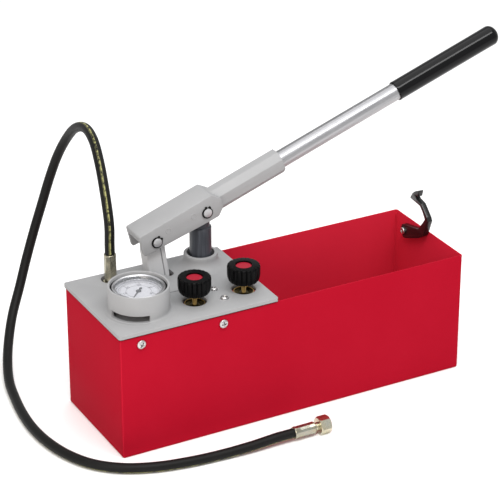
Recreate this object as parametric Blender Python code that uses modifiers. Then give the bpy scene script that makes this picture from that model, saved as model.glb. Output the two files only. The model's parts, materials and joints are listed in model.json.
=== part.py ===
"""Hand-operated hydrostatic test pump, modelled piece by piece.

Frame: X runs along the tank, Y from front to back, Z up. The origin is the centre of the
tank's underside. All sizes are real, in metres. The lever stands as in use, part way up.
"""

from math import asin, atan2, ceil, cos, hypot, pi, radians, sin, tan

import bmesh
import bpy
from mathutils import Vector

MM = 0.001

# Fits shared by all pieces
GAP = 0.3 * MM              # between two pieces that touch or run in each other
OVERRUN = 3 * MM            # how far a cutter passes the face that it opens
MERGE = 0.01 * MM           # points closer than this are one point
SMALL_BREAK = 0.5 * MM      # broken edges of small turned parts

# Facets of round forms
STEPS_LARGE = 32
STEPS_MEDIUM = 18
STEPS_SMALL = 12
STEPS_PIN = 14
ARC_STEP = radians(22.5)

# Tank: one open box of folded and welded sheet steel
TANK_LENGTH = 510 * MM
TANK_DEPTH = 168 * MM
TANK_HEIGHT = 172 * MM
TANK_WALL = 1.5 * MM
TANK_BEND = 3 * MM
TANK_BEND_SEGMENTS = 3

# Head plate: the casting that closes the left part of the tank and carries the pump
PLATE_OVERHANG = 1.5 * MM
PLATE_THICKNESS = 6 * MM
PLATE_CORNER = 5 * MM
PLATE_EDGE = 1.2 * MM
PLATE_LUG_THICKNESS = 11 * MM
PLATE_LUG_WIDTH = 26 * MM
PLATE_LUG_DROP = 24 * MM

# All screw heads: shares of the head's radius, of its height and of its width
SCREW_FLAT_SHARE = 0.45
SCREW_SHOULDER_SHARE = 0.86
SCREW_CROWN_SHARE = 0.7
SCREW_EDGE_SHARE = 0.3
SCREW_SLOT_DEPTH_SHARE = 0.55
SCREW_SLOT_WIDTH_SHARE = 0.11
SCREW_SLOT_SHARE = 0.56

# Screws through the tank's walls into the lugs of the plate
WALL_SCREW_LEFT = 30.5 * MM   # from the plate's left end
WALL_SCREW_RIGHT = 80 * MM    # from the plate's right end
WALL_SCREW_DROP = 12 * MM   # below the rim of the tank
WALL_SCREW_SHANK = 6 * MM
WALL_SCREW_HEAD = 12 * MM
WALL_SCREW_HEAD_HEIGHT = 3.2 * MM
WALL_SCREW_LENGTH = 12 * MM

# Pump: piston, cylinder and the boss around them
PUMP_END = 5.5 * MM         # from the boss's foot to the plate's right end
PUMP_BACK = 37.5 * MM       # from the plate's back edge to the axis
PISTON_DIAMETER = 29.5 * MM
PISTON_NECK = 25 * MM
PISTON_SHOULDER = 29 * MM   # below the pin
PISTON_CHAMFER = 2 * MM
PISTON_LENGTH = 130 * MM    # from the pin to the lower end
SEAL_GROOVE_DEPTH = 2.6 * MM
SEAL_WIDTH = 5 * MM
SEAL_RISE = 6 * MM          # above the piston's lower end
SEAL_CLEARANCE = 0.15 * MM  # radial, past the piston's own side
BOSS_DIAMETER = 45.5 * MM
BOSS_BORE = 37 * MM
BOSS_HEIGHT = 18.7 * MM     # above the plate's top
BOSS_FOOT_DIAMETER = 78 * MM
BOSS_STRAIGHT = 5 * MM      # cylindrical part below the boss's rim
BOSS_EDGE = 1 * MM
CYLINDER_WALL = 5.8 * MM
CYLINDER_FLANGE = 60 * MM
CYLINDER_FLANGE_THICKNESS = 8 * MM
CYLINDER_SPIGOT = 12 * MM   # above the plate's underside, inside the boss
CYLINDER_FLOOR = 10 * MM
CYLINDER_SPARE = 6 * MM     # under the piston at the end of its stroke
WIPER_HEIGHT = 6 * MM
WIPER_LIP = 1.5 * MM
SUCTION_PORT = 14 * MM
SUCTION_PIPE_BORE = 9 * MM
FOOT_VALVE_HEX = 22 * MM
FOOT_VALVE_HEIGHT = 16 * MM
STRAINER_DIAMETER = 34 * MM
STRAINER_HEIGHT = 20 * MM
STRAINER_CLEAR = 6 * MM     # above the tank's floor
STRAINER_WALL = 2 * MM
STRAINER_SLOTS = 8
STRAINER_SLOT_WIDTH = 3 * MM
STRAINER_SLOT_HEIGHT = 9 * MM

# Lever: angles from the horizontal, spacing of its two pins
LEVER_ANGLE = radians(19.6)
LEVER_DOWN = radians(-25)
PIN_SPACING = 78 * MM
PIN_HEIGHT = 262.8 * MM     # piston pin above the floor
STROKE_PER_RADIAN = 74.6 * MM
PIN_DIAMETER = 12 * MM
PIN_END = 1.2 * MM          # pin beyond its retaining ring
RING_THICKNESS = 1.2 * MM
RING_WIDTH = 2.7 * MM
RING_GROOVE_DEPTH = 0.8 * MM
RING_OPENING = radians(34)
RING_EAR = 1.6 * MM
RING_TURNS = (radians(50), radians(85))
YOKE_WIDTH = 41 * MM
YOKE_CHEEK = 4.8 * MM
YOKE_ROOF = 3.5 * MM
YOKE_ABOVE = 19.5 * MM      # roof above the line of the pins
YOKE_BELOW = 12 * MM        # cheeks below that line
YOKE_HEEL = 14.5 * MM       # the same at the piston pin
YOKE_LEFT = 20 * MM         # past the link pin
YOKE_RIGHT = 25 * MM        # past the piston pin
YOKE_SLOPE_SHARE = 0.55
YOKE_EDGE = 1.6 * MM
YOKE_LIP = 4.5 * MM         # rib along the roof at the open end
YOKE_LIP_DEPTH = 5 * MM
YOKE_CAVITY_RIGHT = 16.5 * MM
SLEEVE_END = 125 * MM       # from the piston pin
SLEEVE_WIDTH = 30 * MM
SLEEVE_HEIGHT = 32 * MM
SLEEVE_CHAMFER = 8.5 * MM
SLEEVE_EDGE = 1 * MM
TUBE_DIAMETER = 24 * MM
TUBE_WALL = 2 * MM
TUBE_START = 40 * MM        # from the piston pin
TUBE_END = 479 * MM
GRIP_DIAMETER = 28 * MM
GRIP_LENGTH = 170 * MM
GRIP_CAP = 6 * MM           # past the tube's end
GRIP_LIP = 0.8 * MM
GRIP_DOME_SHARE = 0.6       # height of the rounded end, of its radius

# Rocker link between the plate and the lever
LINK_LEAN = radians(8.5)
LINK_PIVOT_DROP = 14 * MM   # below the plate's top
LINK_WIDTH = 28 * MM
LINK_THICKNESS = 20 * MM
LINK_EYE = 22 * MM
LINK_HEAD = 26.4 * MM
LINK_HEAD_RIGHT = 2.9 * MM  # room of the open pivot, along and up the link
LINK_HEAD_UP = 0.7 * MM
LINK_POCKET_DEPTH = 3 * MM
LINK_POCKET_MARGIN = 5.5 * MM
LINK_PIN_DIAMETER = 10 * MM
LINK_SLOT_LENGTH = 45 * MM
LINK_SLOT_SIDE = 1.5 * MM   # free at the front and back of the link
LINK_SLOT_CORNER = 8 * MM
LINK_SLOT_SHIFT = -2.5 * MM # of the slot's middle from the link's pivot
LINK_EAR_THICKNESS = 8 * MM
LINK_EAR_DROP = 24 * MM
LINK_EAR_WIDTH = 26 * MM

# Pressure gauge in its collar
GAUGE_END = 14 * MM         # from the collar to the plate's left end
GAUGE_FRONT = 15.5 * MM     # from the collar to the plate's front edge
COLLAR_DIAMETER = 80 * MM
COLLAR_BORE = 74 * MM
COLLAR_HEIGHT = 36 * MM
COLLAR_EDGE = 0.8 * MM
COLLAR_STEP_WIDTH = 6 * MM  # raised ring of the plate around the collar
COLLAR_STEP = 1.2 * MM
COLLAR_FOOT = 2 * MM
DRAIN_FROM = radians(184)
DRAIN_TO = radians(265)
DRAIN_RISE = 2 * MM
DRAIN_HEIGHT = 7.5 * MM
BEZEL_DIAMETER = 69.5 * MM
BEZEL_OPENING = 61.5 * MM
BEZEL_SINK = 2 * MM         # below the collar's rim
BEZEL_HEIGHT = 8 * MM
BEZEL_LIP = 1.6 * MM
CASE_DIAMETER = 65 * MM
CASE_WALL = 1.2 * MM
CASE_HEIGHT = 24 * MM
GLASS_THICKNESS = 2 * MM
DIAL_THICKNESS = 1 * MM
DIAL_SINK = 6 * MM          # below the top of the glass
NEEDLE_THICKNESS = 0.6 * MM
NEEDLE_LENGTH = 22 * MM
NEEDLE_TAIL = 8 * MM
NEEDLE_WIDTH = 2.4 * MM
NEEDLE_HUB = 7 * MM
NEEDLE_SHAFT = 2.4 * MM
NEEDLE_START = radians(225) # direction of the zero mark, from +X
MOVEMENT_DIAMETER = 34 * MM
MOVEMENT_HEIGHT = 9 * MM
STEM_DIAMETER = 13 * MM
STEM_HEX = 14 * MM
STEM_HEX_HEIGHT = 5 * MM
STEM_HOLE = 18 * MM

# Valves: return and shut-off, side by side along the front
KNOB_TO_COLLAR = 11.8 * MM
KNOB_SPACE = 28.1 * MM      # between the knobs, for a hand
KNOB_END = 6.3 * MM         # from the right knob to the plate's right end
KNOB_FRONT = 21.8 * MM      # from the knobs to the plate's front edge
VALVE_HOLE = 32 * MM
KNOB_DIAMETER = 43.4 * MM
KNOB_FOOT = 28 * MM
KNOB_RAISE = 12 * MM        # underside above the plate
KNOB_HEIGHT = 23.5 * MM
KNOB_EDGE = 1.5 * MM
KNOB_FLUTES = 20
KNOB_FLUTE_DEPTH = 1.3 * MM
KNOB_FLUTE_SHARE = 0.42
KNOB_BELLY_SHARE = 0.35     # height of the turn from side to taper
KNOB_BELLY = 40 * MM
CAP_DIAMETER = 21.4 * MM
CAP_THICKNESS = 2 * MM
CAP_SINK = 1 * MM
SPINDLE_DIAMETER = 6 * MM
SPINDLE_DEPTH = 10 * MM     # into the valve block
SPINDLE_SEAT = 10 * MM      # from the knob's top down to the spindle's end
BONNET_DIAMETER = 25 * MM
BONNET_FLANGE = 4 * MM
BONNET_NECK = 17 * MM
BONNET_HEIGHT = 8 * MM

# Valve block under the plate, with its pipes
BLOCK_DROP = 18 * MM        # top of the block below the plate's top
BLOCK_HEIGHT = 28 * MM
BLOCK_DEPTH = 46 * MM
BLOCK_BEHIND = 3 * MM       # from the valve axes to the block's middle
BLOCK_END = 20 * MM         # past the valve axes
BLOCK_ARM_DEPTH = 28 * MM
BLOCK_ARM_END = 20 * MM     # past the gauge axis
BLOCK_EDGE = 1.5 * MM
BLOCK_POST = 14 * MM
PLATE_SCREW_SPACING = 29 * MM
PLATE_SCREW_ASIDE = 1.25 * MM   # from midway between the knobs
PLATE_SCREW_SHANK = 5 * MM
PLATE_SCREW_HEAD = 10 * MM
PLATE_SCREW_HEAD_HEIGHT = 2.8 * MM
PLATE_SCREW_LENGTH = 16 * MM
PIPE_DIAMETER = 10 * MM
PIPE_SOCKET = 6 * MM        # depth of a pipe in its socket
PIPE_DROP = 27 * MM         # below the plate's top
PORT_BOSS = 18 * MM
PORT_BOSS_REACH = 5 * MM    # past the side of the cylinder

# Hose with its fittings
HOSE_ASIDE = 5 * MM         # from the gauge's axis to the hose's
HOSE_BACK = 6.5 * MM        # from the hose's hole to the plate's back edge
HOSE_HOLE = 26 * MM
HOSE_DIAMETER = 13.4 * MM
HOSE_SIDES_RESOLUTION = 2
HOSE_POINT_SPACING = 34 * MM
FERRULE_DIAMETER = 16.6 * MM
FERRULE_TOP_LENGTH = 39 * MM
FERRULE_END_LENGTH = 31 * MM
FERRULE_TOP_RAISE = 37 * MM # top of the upper ferrule above the plate
FERRULE_EDGE = 0.8 * MM
FITTING_HEX = 19 * MM
FITTING_HEX_HEIGHT = 7 * MM
FITTING_BODY = 20 * MM
FITTING_DROP = 38 * MM      # lower end below the plate's top
TAIL_DIAMETER = 11 * MM
TAIL_NECK = 5.5 * MM
TAIL_BEAD = 15 * MM
TAIL_NOSE = 8 * MM
TAIL_BORE = 6 * MM
NUT_HEX = 22 * MM
NUT_LENGTH = 15.5 * MM
NUT_BACK = 4 * MM
NUT_THREAD = 17.4 * MM
NUT_CHAMFER = 1.6 * MM
NUT_SEAL_THICKNESS = 2 * MM

# Retainer hook for the lowered handle, on the right end wall
HOOK_BEHIND = 2.5 * MM      # from the lever's middle
HOOK_DROP = 17.5 * MM       # screw below the tank's rim
HOOK_THICKNESS = 7.6 * MM
HOOK_SCREW_SHANK = 5 * MM
HOOK_SCREW_HEAD = 10 * MM
HOOK_SCREW_HEAD_HEIGHT = 2.6 * MM
HOOK_NUT_DIAMETER = 9 * MM
HOOK_NUT_HEIGHT = 3 * MM
HOOK_EDGE = 0.7 * MM
HOOK_CORNER = 1 * MM
HOOK_ROUND = 4 * MM
# Corners of the hook from its screw, along Y and up, with the radius of each
HOOK_OUTLINE = [
    (5 * MM, 8 * MM, HOOK_ROUND), (7 * MM, -2 * MM, HOOK_ROUND), (0.5 * MM, -11 * MM, HOOK_ROUND),
    (-6 * MM, -9.5 * MM, HOOK_ROUND), (-38 * MM, 4 * MM, HOOK_ROUND), (-51 * MM, 13 * MM, HOOK_ROUND),
    (-60.5 * MM, 38 * MM, HOOK_CORNER), (-57.5 * MM, 43.5 * MM, HOOK_CORNER),
    (-42 * MM, 57.8 * MM, HOOK_CORNER), (-30 * MM, 60.2 * MM, HOOK_CORNER),
    (-24.5 * MM, 65 * MM, HOOK_CORNER), (-33 * MM, 65 * MM, HOOK_CORNER),
    (-35.5 * MM, 75 * MM, HOOK_CORNER), (-25 * MM, 70 * MM, HOOK_CORNER),
    (-19.5 * MM, 65.5 * MM, HOOK_CORNER), (-13.5 * MM, 56 * MM, HOOK_CORNER),
    (-38.8 * MM, 53.6 * MM, HOOK_CORNER), (-45.5 * MM, 47.8 * MM, HOOK_CORNER),
    (-52.4 * MM, 38.6 * MM, HOOK_CORNER), (-43 * MM, 25.6 * MM, HOOK_CORNER),
    (-36 * MM, 17 * MM, HOOK_CORNER),
]

# The hose lies free: these points are its route, from the upper ferrule to the lower one.
# They are measured from the upper ferrule's axis and from the ground
HOSE_ROUTE = [
    (1.5 * MM, 3 * MM, 258 * MM), (3.5 * MM, 18 * MM, 296 * MM), (9.5 * MM, 45 * MM, 325 * MM),
    (17.5 * MM, 80 * MM, 342 * MM), (24.5 * MM, 120 * MM, 343 * MM), (27.5 * MM, 158 * MM, 329 * MM),
    (28.5 * MM, 190 * MM, 304 * MM), (23.5 * MM, 214 * MM, 270 * MM), (15.5 * MM, 228 * MM, 232 * MM),
    (4.5 * MM, 234 * MM, 192 * MM), (-9.5 * MM, 234 * MM, 153 * MM), (-25.5 * MM, 228 * MM, 115 * MM),
    (-43.5 * MM, 214 * MM, 81 * MM), (-64.5 * MM, 193 * MM, 52 * MM), (-83.5 * MM, 164 * MM, 30 * MM),
    (-100.5 * MM, 129 * MM, 16 * MM), (-114.5 * MM, 90 * MM, 9 * MM), (-123.5 * MM, 49 * MM, 7 * MM),
    (-130.5 * MM, 7 * MM, 7 * MM), (-133.5 * MM, -35 * MM, 7 * MM), (-130.5 * MM, -77 * MM, 7 * MM),
    (-120.5 * MM, -117 * MM, 7 * MM), (-101.5 * MM, -153 * MM, 7 * MM), (-71.5 * MM, -180 * MM, 7 * MM),
    (-33.5 * MM, -197 * MM, 7 * MM), (8.5 * MM, -206 * MM, 7 * MM), (50.5 * MM, -210 * MM, 7 * MM),
    (93.5 * MM, -213 * MM, 9 * MM), (130.5 * MM, -213 * MM, NUT_HEX / 2),
]
HOSE_END_RIGHT = 156.5 * MM  # from the upper ferrule to the lower one
HOSE_END_FRONT = 213 * MM

# Places worked out from the sizes above
tank_right = TANK_LENGTH / 2
plate_left = -TANK_LENGTH / 2 - PLATE_OVERHANG
gauge_x = plate_left + GAUGE_END + COLLAR_DIAMETER / 2
valve_left = gauge_x + COLLAR_DIAMETER / 2 + KNOB_TO_COLLAR + KNOB_DIAMETER / 2
valve_right = valve_left + KNOB_DIAMETER + KNOB_SPACE
plate_right = valve_right + KNOB_DIAMETER / 2 + KNOB_END
plate_bottom = TANK_HEIGHT + GAP
plate_top = plate_bottom + PLATE_THICKNESS
plate_half_depth = TANK_DEPTH / 2 + PLATE_OVERHANG
wall_inside = TANK_DEPTH / 2 - TANK_WALL
gauge_y = GAUGE_FRONT + COLLAR_DIAMETER / 2 - plate_half_depth
valve_y = KNOB_FRONT + KNOB_DIAMETER / 2 - plate_half_depth
valve_places = [(valve_left, valve_y), (valve_right, valve_y)]
wall_screw_places = [plate_left + WALL_SCREW_LEFT, plate_right - WALL_SCREW_RIGHT]
plate_screw_x = (valve_left + valve_right) / 2 + PLATE_SCREW_ASIDE
pump_x = plate_right - PUMP_END - BOSS_FOOT_DIAMETER / 2
pump_y = plate_half_depth - PUMP_BACK
hose_x = gauge_x + HOSE_ASIDE
hose_y = plate_half_depth - HOSE_BACK - HOSE_HOLE / 2
hose_stop = Vector((hose_x + HOSE_END_RIGHT, hose_y - HOSE_END_FRONT, NUT_HEX / 2))
block_y = valve_y + BLOCK_BEHIND
hook_y = pump_y + HOOK_BEHIND
boss_top = plate_top + BOSS_HEIGHT
collar_top = plate_top + COLLAR_HEIGHT
piston_bottom = PIN_HEIGHT - PISTON_LENGTH
cylinder_bore = PISTON_DIAMETER + 2 * GAP + 2 * SEAL_CLEARANCE
cylinder_outside = cylinder_bore + 2 * CYLINDER_WALL
cylinder_chamber = piston_bottom + STROKE_PER_RADIAN * LEVER_DOWN - CYLINDER_SPARE
cylinder_bottom = cylinder_chamber - CYLINDER_FLOOR
link_pin_x = pump_x - PIN_SPACING * cos(LEVER_ANGLE)
link_pin_z = PIN_HEIGHT - PIN_SPACING * sin(LEVER_ANGLE)
link_pivot_z = plate_top - LINK_PIVOT_DROP
link_pivot_x = link_pin_x + (link_pin_z - link_pivot_z) * tan(LINK_LEAN)
link_length = (link_pin_z - link_pivot_z) / cos(LINK_LEAN)
grip_end = TUBE_END + GRIP_CAP
grip_start = grip_end - GRIP_LENGTH
block_top = plate_top - BLOCK_DROP
block_bottom = block_top - BLOCK_HEIGHT
block_back = block_y + BLOCK_DEPTH / 2
pipe_z = plate_top - PIPE_DROP
bezel_top = collar_top - BEZEL_SINK
glass_top = bezel_top - BEZEL_LIP - GAP
dial_top = glass_top - DIAL_SINK
case_bottom = bezel_top - BEZEL_LIP - GAP - CASE_HEIGHT
hook_z = TANK_HEIGHT - HOOK_DROP
hook_right = tank_right - TANK_WALL - GAP
hose_floor = HOSE_DIAMETER / 2 + GAP


def clear_scene():
    for obj in list(bpy.data.objects):
        bpy.data.objects.remove(obj, do_unlink=True)


def new_collection(name):
    collection = bpy.data.collections.new(name)
    bpy.context.scene.collection.children.link(collection)
    return collection


def surface(name, colour, roughness, metallic):
    """A plain material with the colour (linear), roughness and metallic value of a finish."""
    made = bpy.data.materials.new(name)
    made.use_nodes = True
    shader = made.node_tree.nodes["Principled BSDF"]
    shader.inputs["Base Color"].default_value = (*colour, 1)
    shader.inputs["Roughness"].default_value = roughness
    shader.inputs["Metallic"].default_value = metallic
    made.diffuse_color = (*colour, 1)
    return made


clear_scene()
PARTS = new_collection("hydrostatic_test_pump")
CUTTERS = new_collection("cutters")

RED_PAINT = surface("red_paint", (0.50, 0.010, 0.025), 0.35, 0.0)
GREY_CASTING = surface("grey_casting", (0.50, 0.50, 0.51), 0.45, 0.3)
POLISHED_TUBE = surface("polished_aluminium", (0.80, 0.80, 0.82), 0.18, 1.0)
BLACK_GRIP = surface("black_vinyl", (0.012, 0.012, 0.013), 0.22, 0.0)
BLACK_PLASTIC = surface("black_plastic", (0.015, 0.015, 0.016), 0.42, 0.0)
RED_PLASTIC = surface("red_plastic", (0.55, 0.010, 0.020), 0.35, 0.0)
SLATE_PISTON = surface("slate_piston", (0.055, 0.060, 0.075), 0.35, 0.4)
BRASS = surface("brass", (0.50, 0.34, 0.11), 0.35, 1.0)
BRIGHT_STEEL = surface("bright_steel", (0.62, 0.62, 0.63), 0.25, 1.0)
DARK_STEEL = surface("black_spring_steel", (0.02, 0.02, 0.02), 0.40, 0.6)
YELLOW_ZINC = surface("yellow_zinc", (0.50, 0.47, 0.33), 0.30, 1.0)
BLACK_RUBBER = surface("black_rubber", (0.020, 0.020, 0.021), 0.55, 0.0)
WHITE_DIAL = surface("white_dial", (0.80, 0.80, 0.82), 0.50, 0.0)
CLEAR_GLASS = surface("clear_glass", (0.85, 0.88, 0.90), 0.05, 0.0)


def link_object(name, data, finish, collection=None):
    """Put a mesh or curve into the scene as one object."""
    obj = bpy.data.objects.new(name, data)
    (collection or PARTS).objects.link(obj)
    if finish:
        data.materials.append(finish)
    return obj


def pivot(name, place, turn=(0, 0, 0)):
    """An empty on a joint's axis, which its moving pieces are parented to."""
    empty = bpy.data.objects.new(name, None)
    empty.location = place
    empty.rotation_euler = turn
    PARTS.objects.link(empty)
    return empty


def solid(name, build, finish):
    """An object from a function that fills a bmesh."""
    mesh = bpy.data.meshes.new(name)
    shape = bmesh.new()
    build(shape)
    bmesh.ops.recalc_face_normals(shape, faces=shape.faces)
    shape.to_mesh(mesh)
    shape.free()
    return link_object(name, mesh, finish)


def box(name, low, high, finish=None):
    """A box between two opposite corners."""
    low, high = Vector(low), Vector(high)

    def build(shape):
        bmesh.ops.create_cube(shape, size=1)
        bmesh.ops.scale(shape, vec=high - low, verts=shape.verts)
        bmesh.ops.translate(shape, vec=(low + high) / 2, verts=shape.verts)

    return solid(name, build, finish)


def rod(name, start, end, diameter, finish=None, sides=STEPS_SMALL):
    """A cylinder, or with few sides a prism, between two points."""
    start, end = Vector(start), Vector(end)
    axis = end - start

    def build(shape):
        bmesh.ops.create_cone(shape, cap_ends=True, segments=sides, radius1=diameter / 2,
                              radius2=diameter / 2, depth=axis.length)

    obj = solid(name, build, finish)
    obj.location = (start + end) / 2
    obj.rotation_mode = "QUATERNION"
    obj.rotation_quaternion = Vector((0, 0, 1)).rotation_difference(axis)
    return obj


def turned(name, profile, finish=None, ring=False, steps=STEPS_MEDIUM):
    """A solid of revolution about its own Z, from (radius, height) down its outer side.

    A ring's profile is closed: it starts at the inner upper edge and ends at the inner lower one.
    """
    mesh = bpy.data.meshes.new(name)
    points = [(radius, 0, height) for radius, height in profile]
    edges = [(i, i + 1) for i in range(len(points) - 1)]
    if ring:
        edges.append((len(points) - 1, 0))
    mesh.from_pydata(points, edges, [])
    obj = link_object(name, mesh, finish)
    screw = obj.modifiers.new("Turn", "SCREW")
    screw.angle = 2 * pi
    screw.steps = screw.render_steps = steps
    screw.use_merge_vertices = True
    screw.merge_threshold = MERGE
    return obj


def flat(name, outline, thickness, finish=None):
    """A flat outline in its own XY plane, extruded half its thickness to both sides, as a mesh."""
    curve = bpy.data.curves.new(name, "CURVE")
    curve.dimensions = "2D"
    curve.fill_mode = "BOTH"
    curve.extrude = thickness / 2
    spline = curve.splines.new("POLY")
    spline.points.add(len(outline) - 1)
    for point, (x, y) in zip(spline.points, outline):
        point.co = (x, y, 0, 1)
    spline.use_cyclic_u = True
    return curve_to_mesh(link_object(name, curve, None), finish)


def curve_to_mesh(drawn, finish):
    """Make a mesh of a curve object, close its caps and keep its place."""
    name = drawn.name
    bpy.context.view_layer.update()
    mesh = bpy.data.meshes.new_from_object(drawn.evaluated_get(bpy.context.evaluated_depsgraph_get()))
    place = drawn.matrix_world.copy()
    bpy.data.objects.remove(drawn, do_unlink=True)
    shape = bmesh.new()
    shape.from_mesh(mesh)
    bmesh.ops.remove_doubles(shape, verts=shape.verts, dist=MERGE)
    bmesh.ops.recalc_face_normals(shape, faces=shape.faces)
    shape.to_mesh(mesh)
    shape.free()
    mesh.materials.clear()
    obj = link_object(name, mesh, finish)
    obj.name = name
    obj.matrix_world = place
    return obj


def arc(centre, radius, start, end):
    """Points of an arc in steps of about ARC_STEP, ends included."""
    count = max(2, ceil(abs(end - start) / ARC_STEP))
    turns = [start + (end - start) * i / count for i in range(count + 1)]
    return [(centre[0] + radius * cos(t), centre[1] + radius * sin(t)) for t in turns]


def rounded(corners):
    """A closed outline from (x, y, radius) corners, each rounded by an arc."""
    outline = []
    for i, (x, y, radius) in enumerate(corners):
        here = Vector((x, y))
        before = (Vector(corners[i - 1][:2]) - here).normalized()
        after = (Vector(corners[(i + 1) % len(corners)][:2]) - here).normalized()
        if radius <= 0:
            outline.append((x, y))
            continue
        half = before.angle(after) / 2
        centre = here + (before + after).normalized() * (radius / sin(half))
        first = here + before * (radius / tan(half)) - centre
        last = here + after * (radius / tan(half)) - centre
        sweep = first.angle_signed(last)
        start = atan2(first.y, first.x)
        outline += arc(centre, radius, start, start - sweep)
    return outline


def rounded_box(low_x, low_y, high_x, high_y, radius):
    return rounded([(high_x, high_y, radius), (low_x, high_y, radius),
                    (low_x, low_y, radius), (high_x, low_y, radius)])


def bevel(obj, width, segments=2, angle=radians(40)):
    made = obj.modifiers.new("Edges", "BEVEL")
    made.width = width
    made.segments = segments
    made.limit_method = "ANGLE"
    made.angle_limit = angle
    made.use_clamp_overlap = True
    return obj


def boolean(target, tool, operation):
    """Cut, join or trim target with tool, which stays as a wire guide among the cutters."""
    for collection in list(tool.users_collection):
        collection.objects.unlink(tool)
    CUTTERS.objects.link(tool)
    tool.hide_render = True
    tool.display_type = "WIRE"
    made = target.modifiers.new(operation.title() + " " + tool.name, "BOOLEAN")
    made.operation = operation
    made.object = tool
    made.solver = "EXACT"
    return target


def cut(target, *tools):
    for tool in tools:
        boolean(target, tool, "DIFFERENCE")
    return target


def join(target, *tools):
    for tool in tools:
        boolean(target, tool, "UNION")
    return target


def smooth(obj, angle=radians(35)):
    """Shade a round piece smooth, with its real edges sharp."""
    obj.data.shade_smooth()
    obj.data.set_sharp_from_angle(angle=angle)
    return obj


def carry(parent, *pieces):
    """Parent pieces, modelled in the parent's own frame, to an empty."""
    for piece in pieces:
        piece.parent = parent
    return pieces


# Directions for flat outlines: an outline's x, y become the world's axes named here
FACING_FRONT = (pi / 2, 0, 0)          # outline x along X, outline y along Z, seen from the front
ALONG_X = (0, pi / 2, 0)               # a turned piece's Z along X


def screw_piece(name, head, head_height, shank, length, finish):
    """A pan-head screw about Z: its head above z = 0, its shank below."""
    radius = head / 2
    profile = [
        (0, head_height), (radius * SCREW_FLAT_SHARE, head_height),
        (radius * SCREW_SHOULDER_SHARE, head_height * SCREW_CROWN_SHARE),
        (radius, head_height * SCREW_EDGE_SHARE), (radius, 0),
        (shank / 2, 0), (shank / 2, -length), (0, -length),
    ]
    obj = turned(name, profile, finish, steps=STEPS_SMALL)
    slot_depth = head_height * SCREW_SLOT_DEPTH_SHARE
    slot_width = head * SCREW_SLOT_WIDTH_SHARE
    slot_length = head * SCREW_SLOT_SHARE
    for turn in (0, 1):
        half = (slot_length / 2, slot_width / 2) if turn else (slot_width / 2, slot_length / 2)
        slot = box(name + "_slot_" + str(turn), (-half[0], -half[1], head_height - slot_depth),
                   (half[0], half[1], head_height + OVERRUN))
        slot.parent = obj
        cut(obj, slot)
    return smooth(obj)


def tank():
    """The open box, folded at its corners, with the holes for its screws."""
    def build(shape):
        bmesh.ops.create_cube(shape, size=1)
        top = [face for face in shape.faces if face.normal.z > 0.5]
        bmesh.ops.delete(shape, geom=top, context="FACES_ONLY")
        bmesh.ops.scale(shape, vec=(TANK_LENGTH, TANK_DEPTH, TANK_HEIGHT), verts=shape.verts)
        bmesh.ops.translate(shape, vec=(0, 0, TANK_HEIGHT / 2), verts=shape.verts)

    mesh = bpy.data.meshes.new("tank")
    shape = bmesh.new()
    build(shape)
    shape.to_mesh(mesh)
    shape.free()
    obj = link_object("tank", mesh, RED_PAINT)
    bevel(obj, TANK_BEND, TANK_BEND_SEGMENTS)
    shell = obj.modifiers.new("Sheet", "SOLIDIFY")
    shell.thickness = TANK_WALL
    shell.offset = -1
    shell.use_even_offset = True
    for x in wall_screw_places:
        for side in (-1, 1):
            outer = side * (TANK_DEPTH / 2 + OVERRUN)
            inner = side * (wall_inside - OVERRUN)
            height = TANK_HEIGHT - WALL_SCREW_DROP
            cut(obj, rod("tank_hole", (x, outer, height), (x, inner, height), WALL_SCREW_SHANK + 2 * GAP))
    cut(obj, rod("tank_hook_hole", (tank_right - TANK_WALL - OVERRUN, hook_y, hook_z),
                 (tank_right + OVERRUN, hook_y, hook_z), HOOK_SCREW_SHANK + 2 * GAP))
    return smooth(obj)


def head_plate():
    """Slab, gauge collar, flared piston boss, ears for the link and lugs for the wall screws."""
    middle = plate_top - PLATE_THICKNESS / 2
    slab = flat("head_plate", rounded_box(plate_left, -plate_half_depth, plate_right, plate_half_depth,
                                          PLATE_CORNER), PLATE_THICKNESS, GREY_CASTING)
    slab.location.z = middle
    bevel(slab, PLATE_EDGE, 1)
    join(slab, collar_form(middle), boss_form(middle))
    for name, low, high in plate_lugs() + link_ears():
        join(slab, box(name, low, high))
    gauge = (gauge_x, gauge_y)
    through = (plate_bottom - OVERRUN, plate_top + OVERRUN)
    for name, (x, y), size, (low, high), sides in (
            ("valve_hole_1", valve_places[0], VALVE_HOLE, through, STEPS_LARGE),
            ("valve_hole_2", valve_places[1], VALVE_HOLE, through, STEPS_LARGE),
            ("hose_hole", (hose_x, hose_y), HOSE_HOLE, through, STEPS_MEDIUM),
            ("stem_hole", gauge, STEM_HOLE, through, STEPS_MEDIUM),
            ("boss_bore", (pump_x, pump_y), BOSS_BORE, (through[0], boss_top + OVERRUN), STEPS_LARGE)):
        cut(slab, rod(name, (x, y, low), (x, y, high), size, sides=sides))
    for i, y in enumerate(plate_screw_places()):
        cut(slab, rod("plate_screw_hole_" + str(i), (plate_screw_x, y, through[0]),
                      (plate_screw_x, y, through[1]), PLATE_SCREW_SHANK + 2 * GAP))
    cut(slab, link_slot(), drain_cutter())
    ear_reach = LINK_THICKNESS / 2 + LINK_EAR_THICKNESS + OVERRUN
    cut(slab, rod("link_pin_hole", (link_pivot_x, pump_y - ear_reach, link_pivot_z),
                  (link_pivot_x, pump_y + ear_reach, link_pivot_z), LINK_PIN_DIAMETER + 2 * GAP))
    for x in wall_screw_places:
        for side in (-1, 1):
            height = TANK_HEIGHT - WALL_SCREW_DROP
            depth = WALL_SCREW_LENGTH + GAP
            cut(slab, rod("lug_hole", (x, side * (TANK_DEPTH / 2 + OVERRUN), height),
                          (x, side * (TANK_DEPTH / 2 - depth), height), WALL_SCREW_SHANK + 2 * GAP))
    return smooth(slab)


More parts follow.
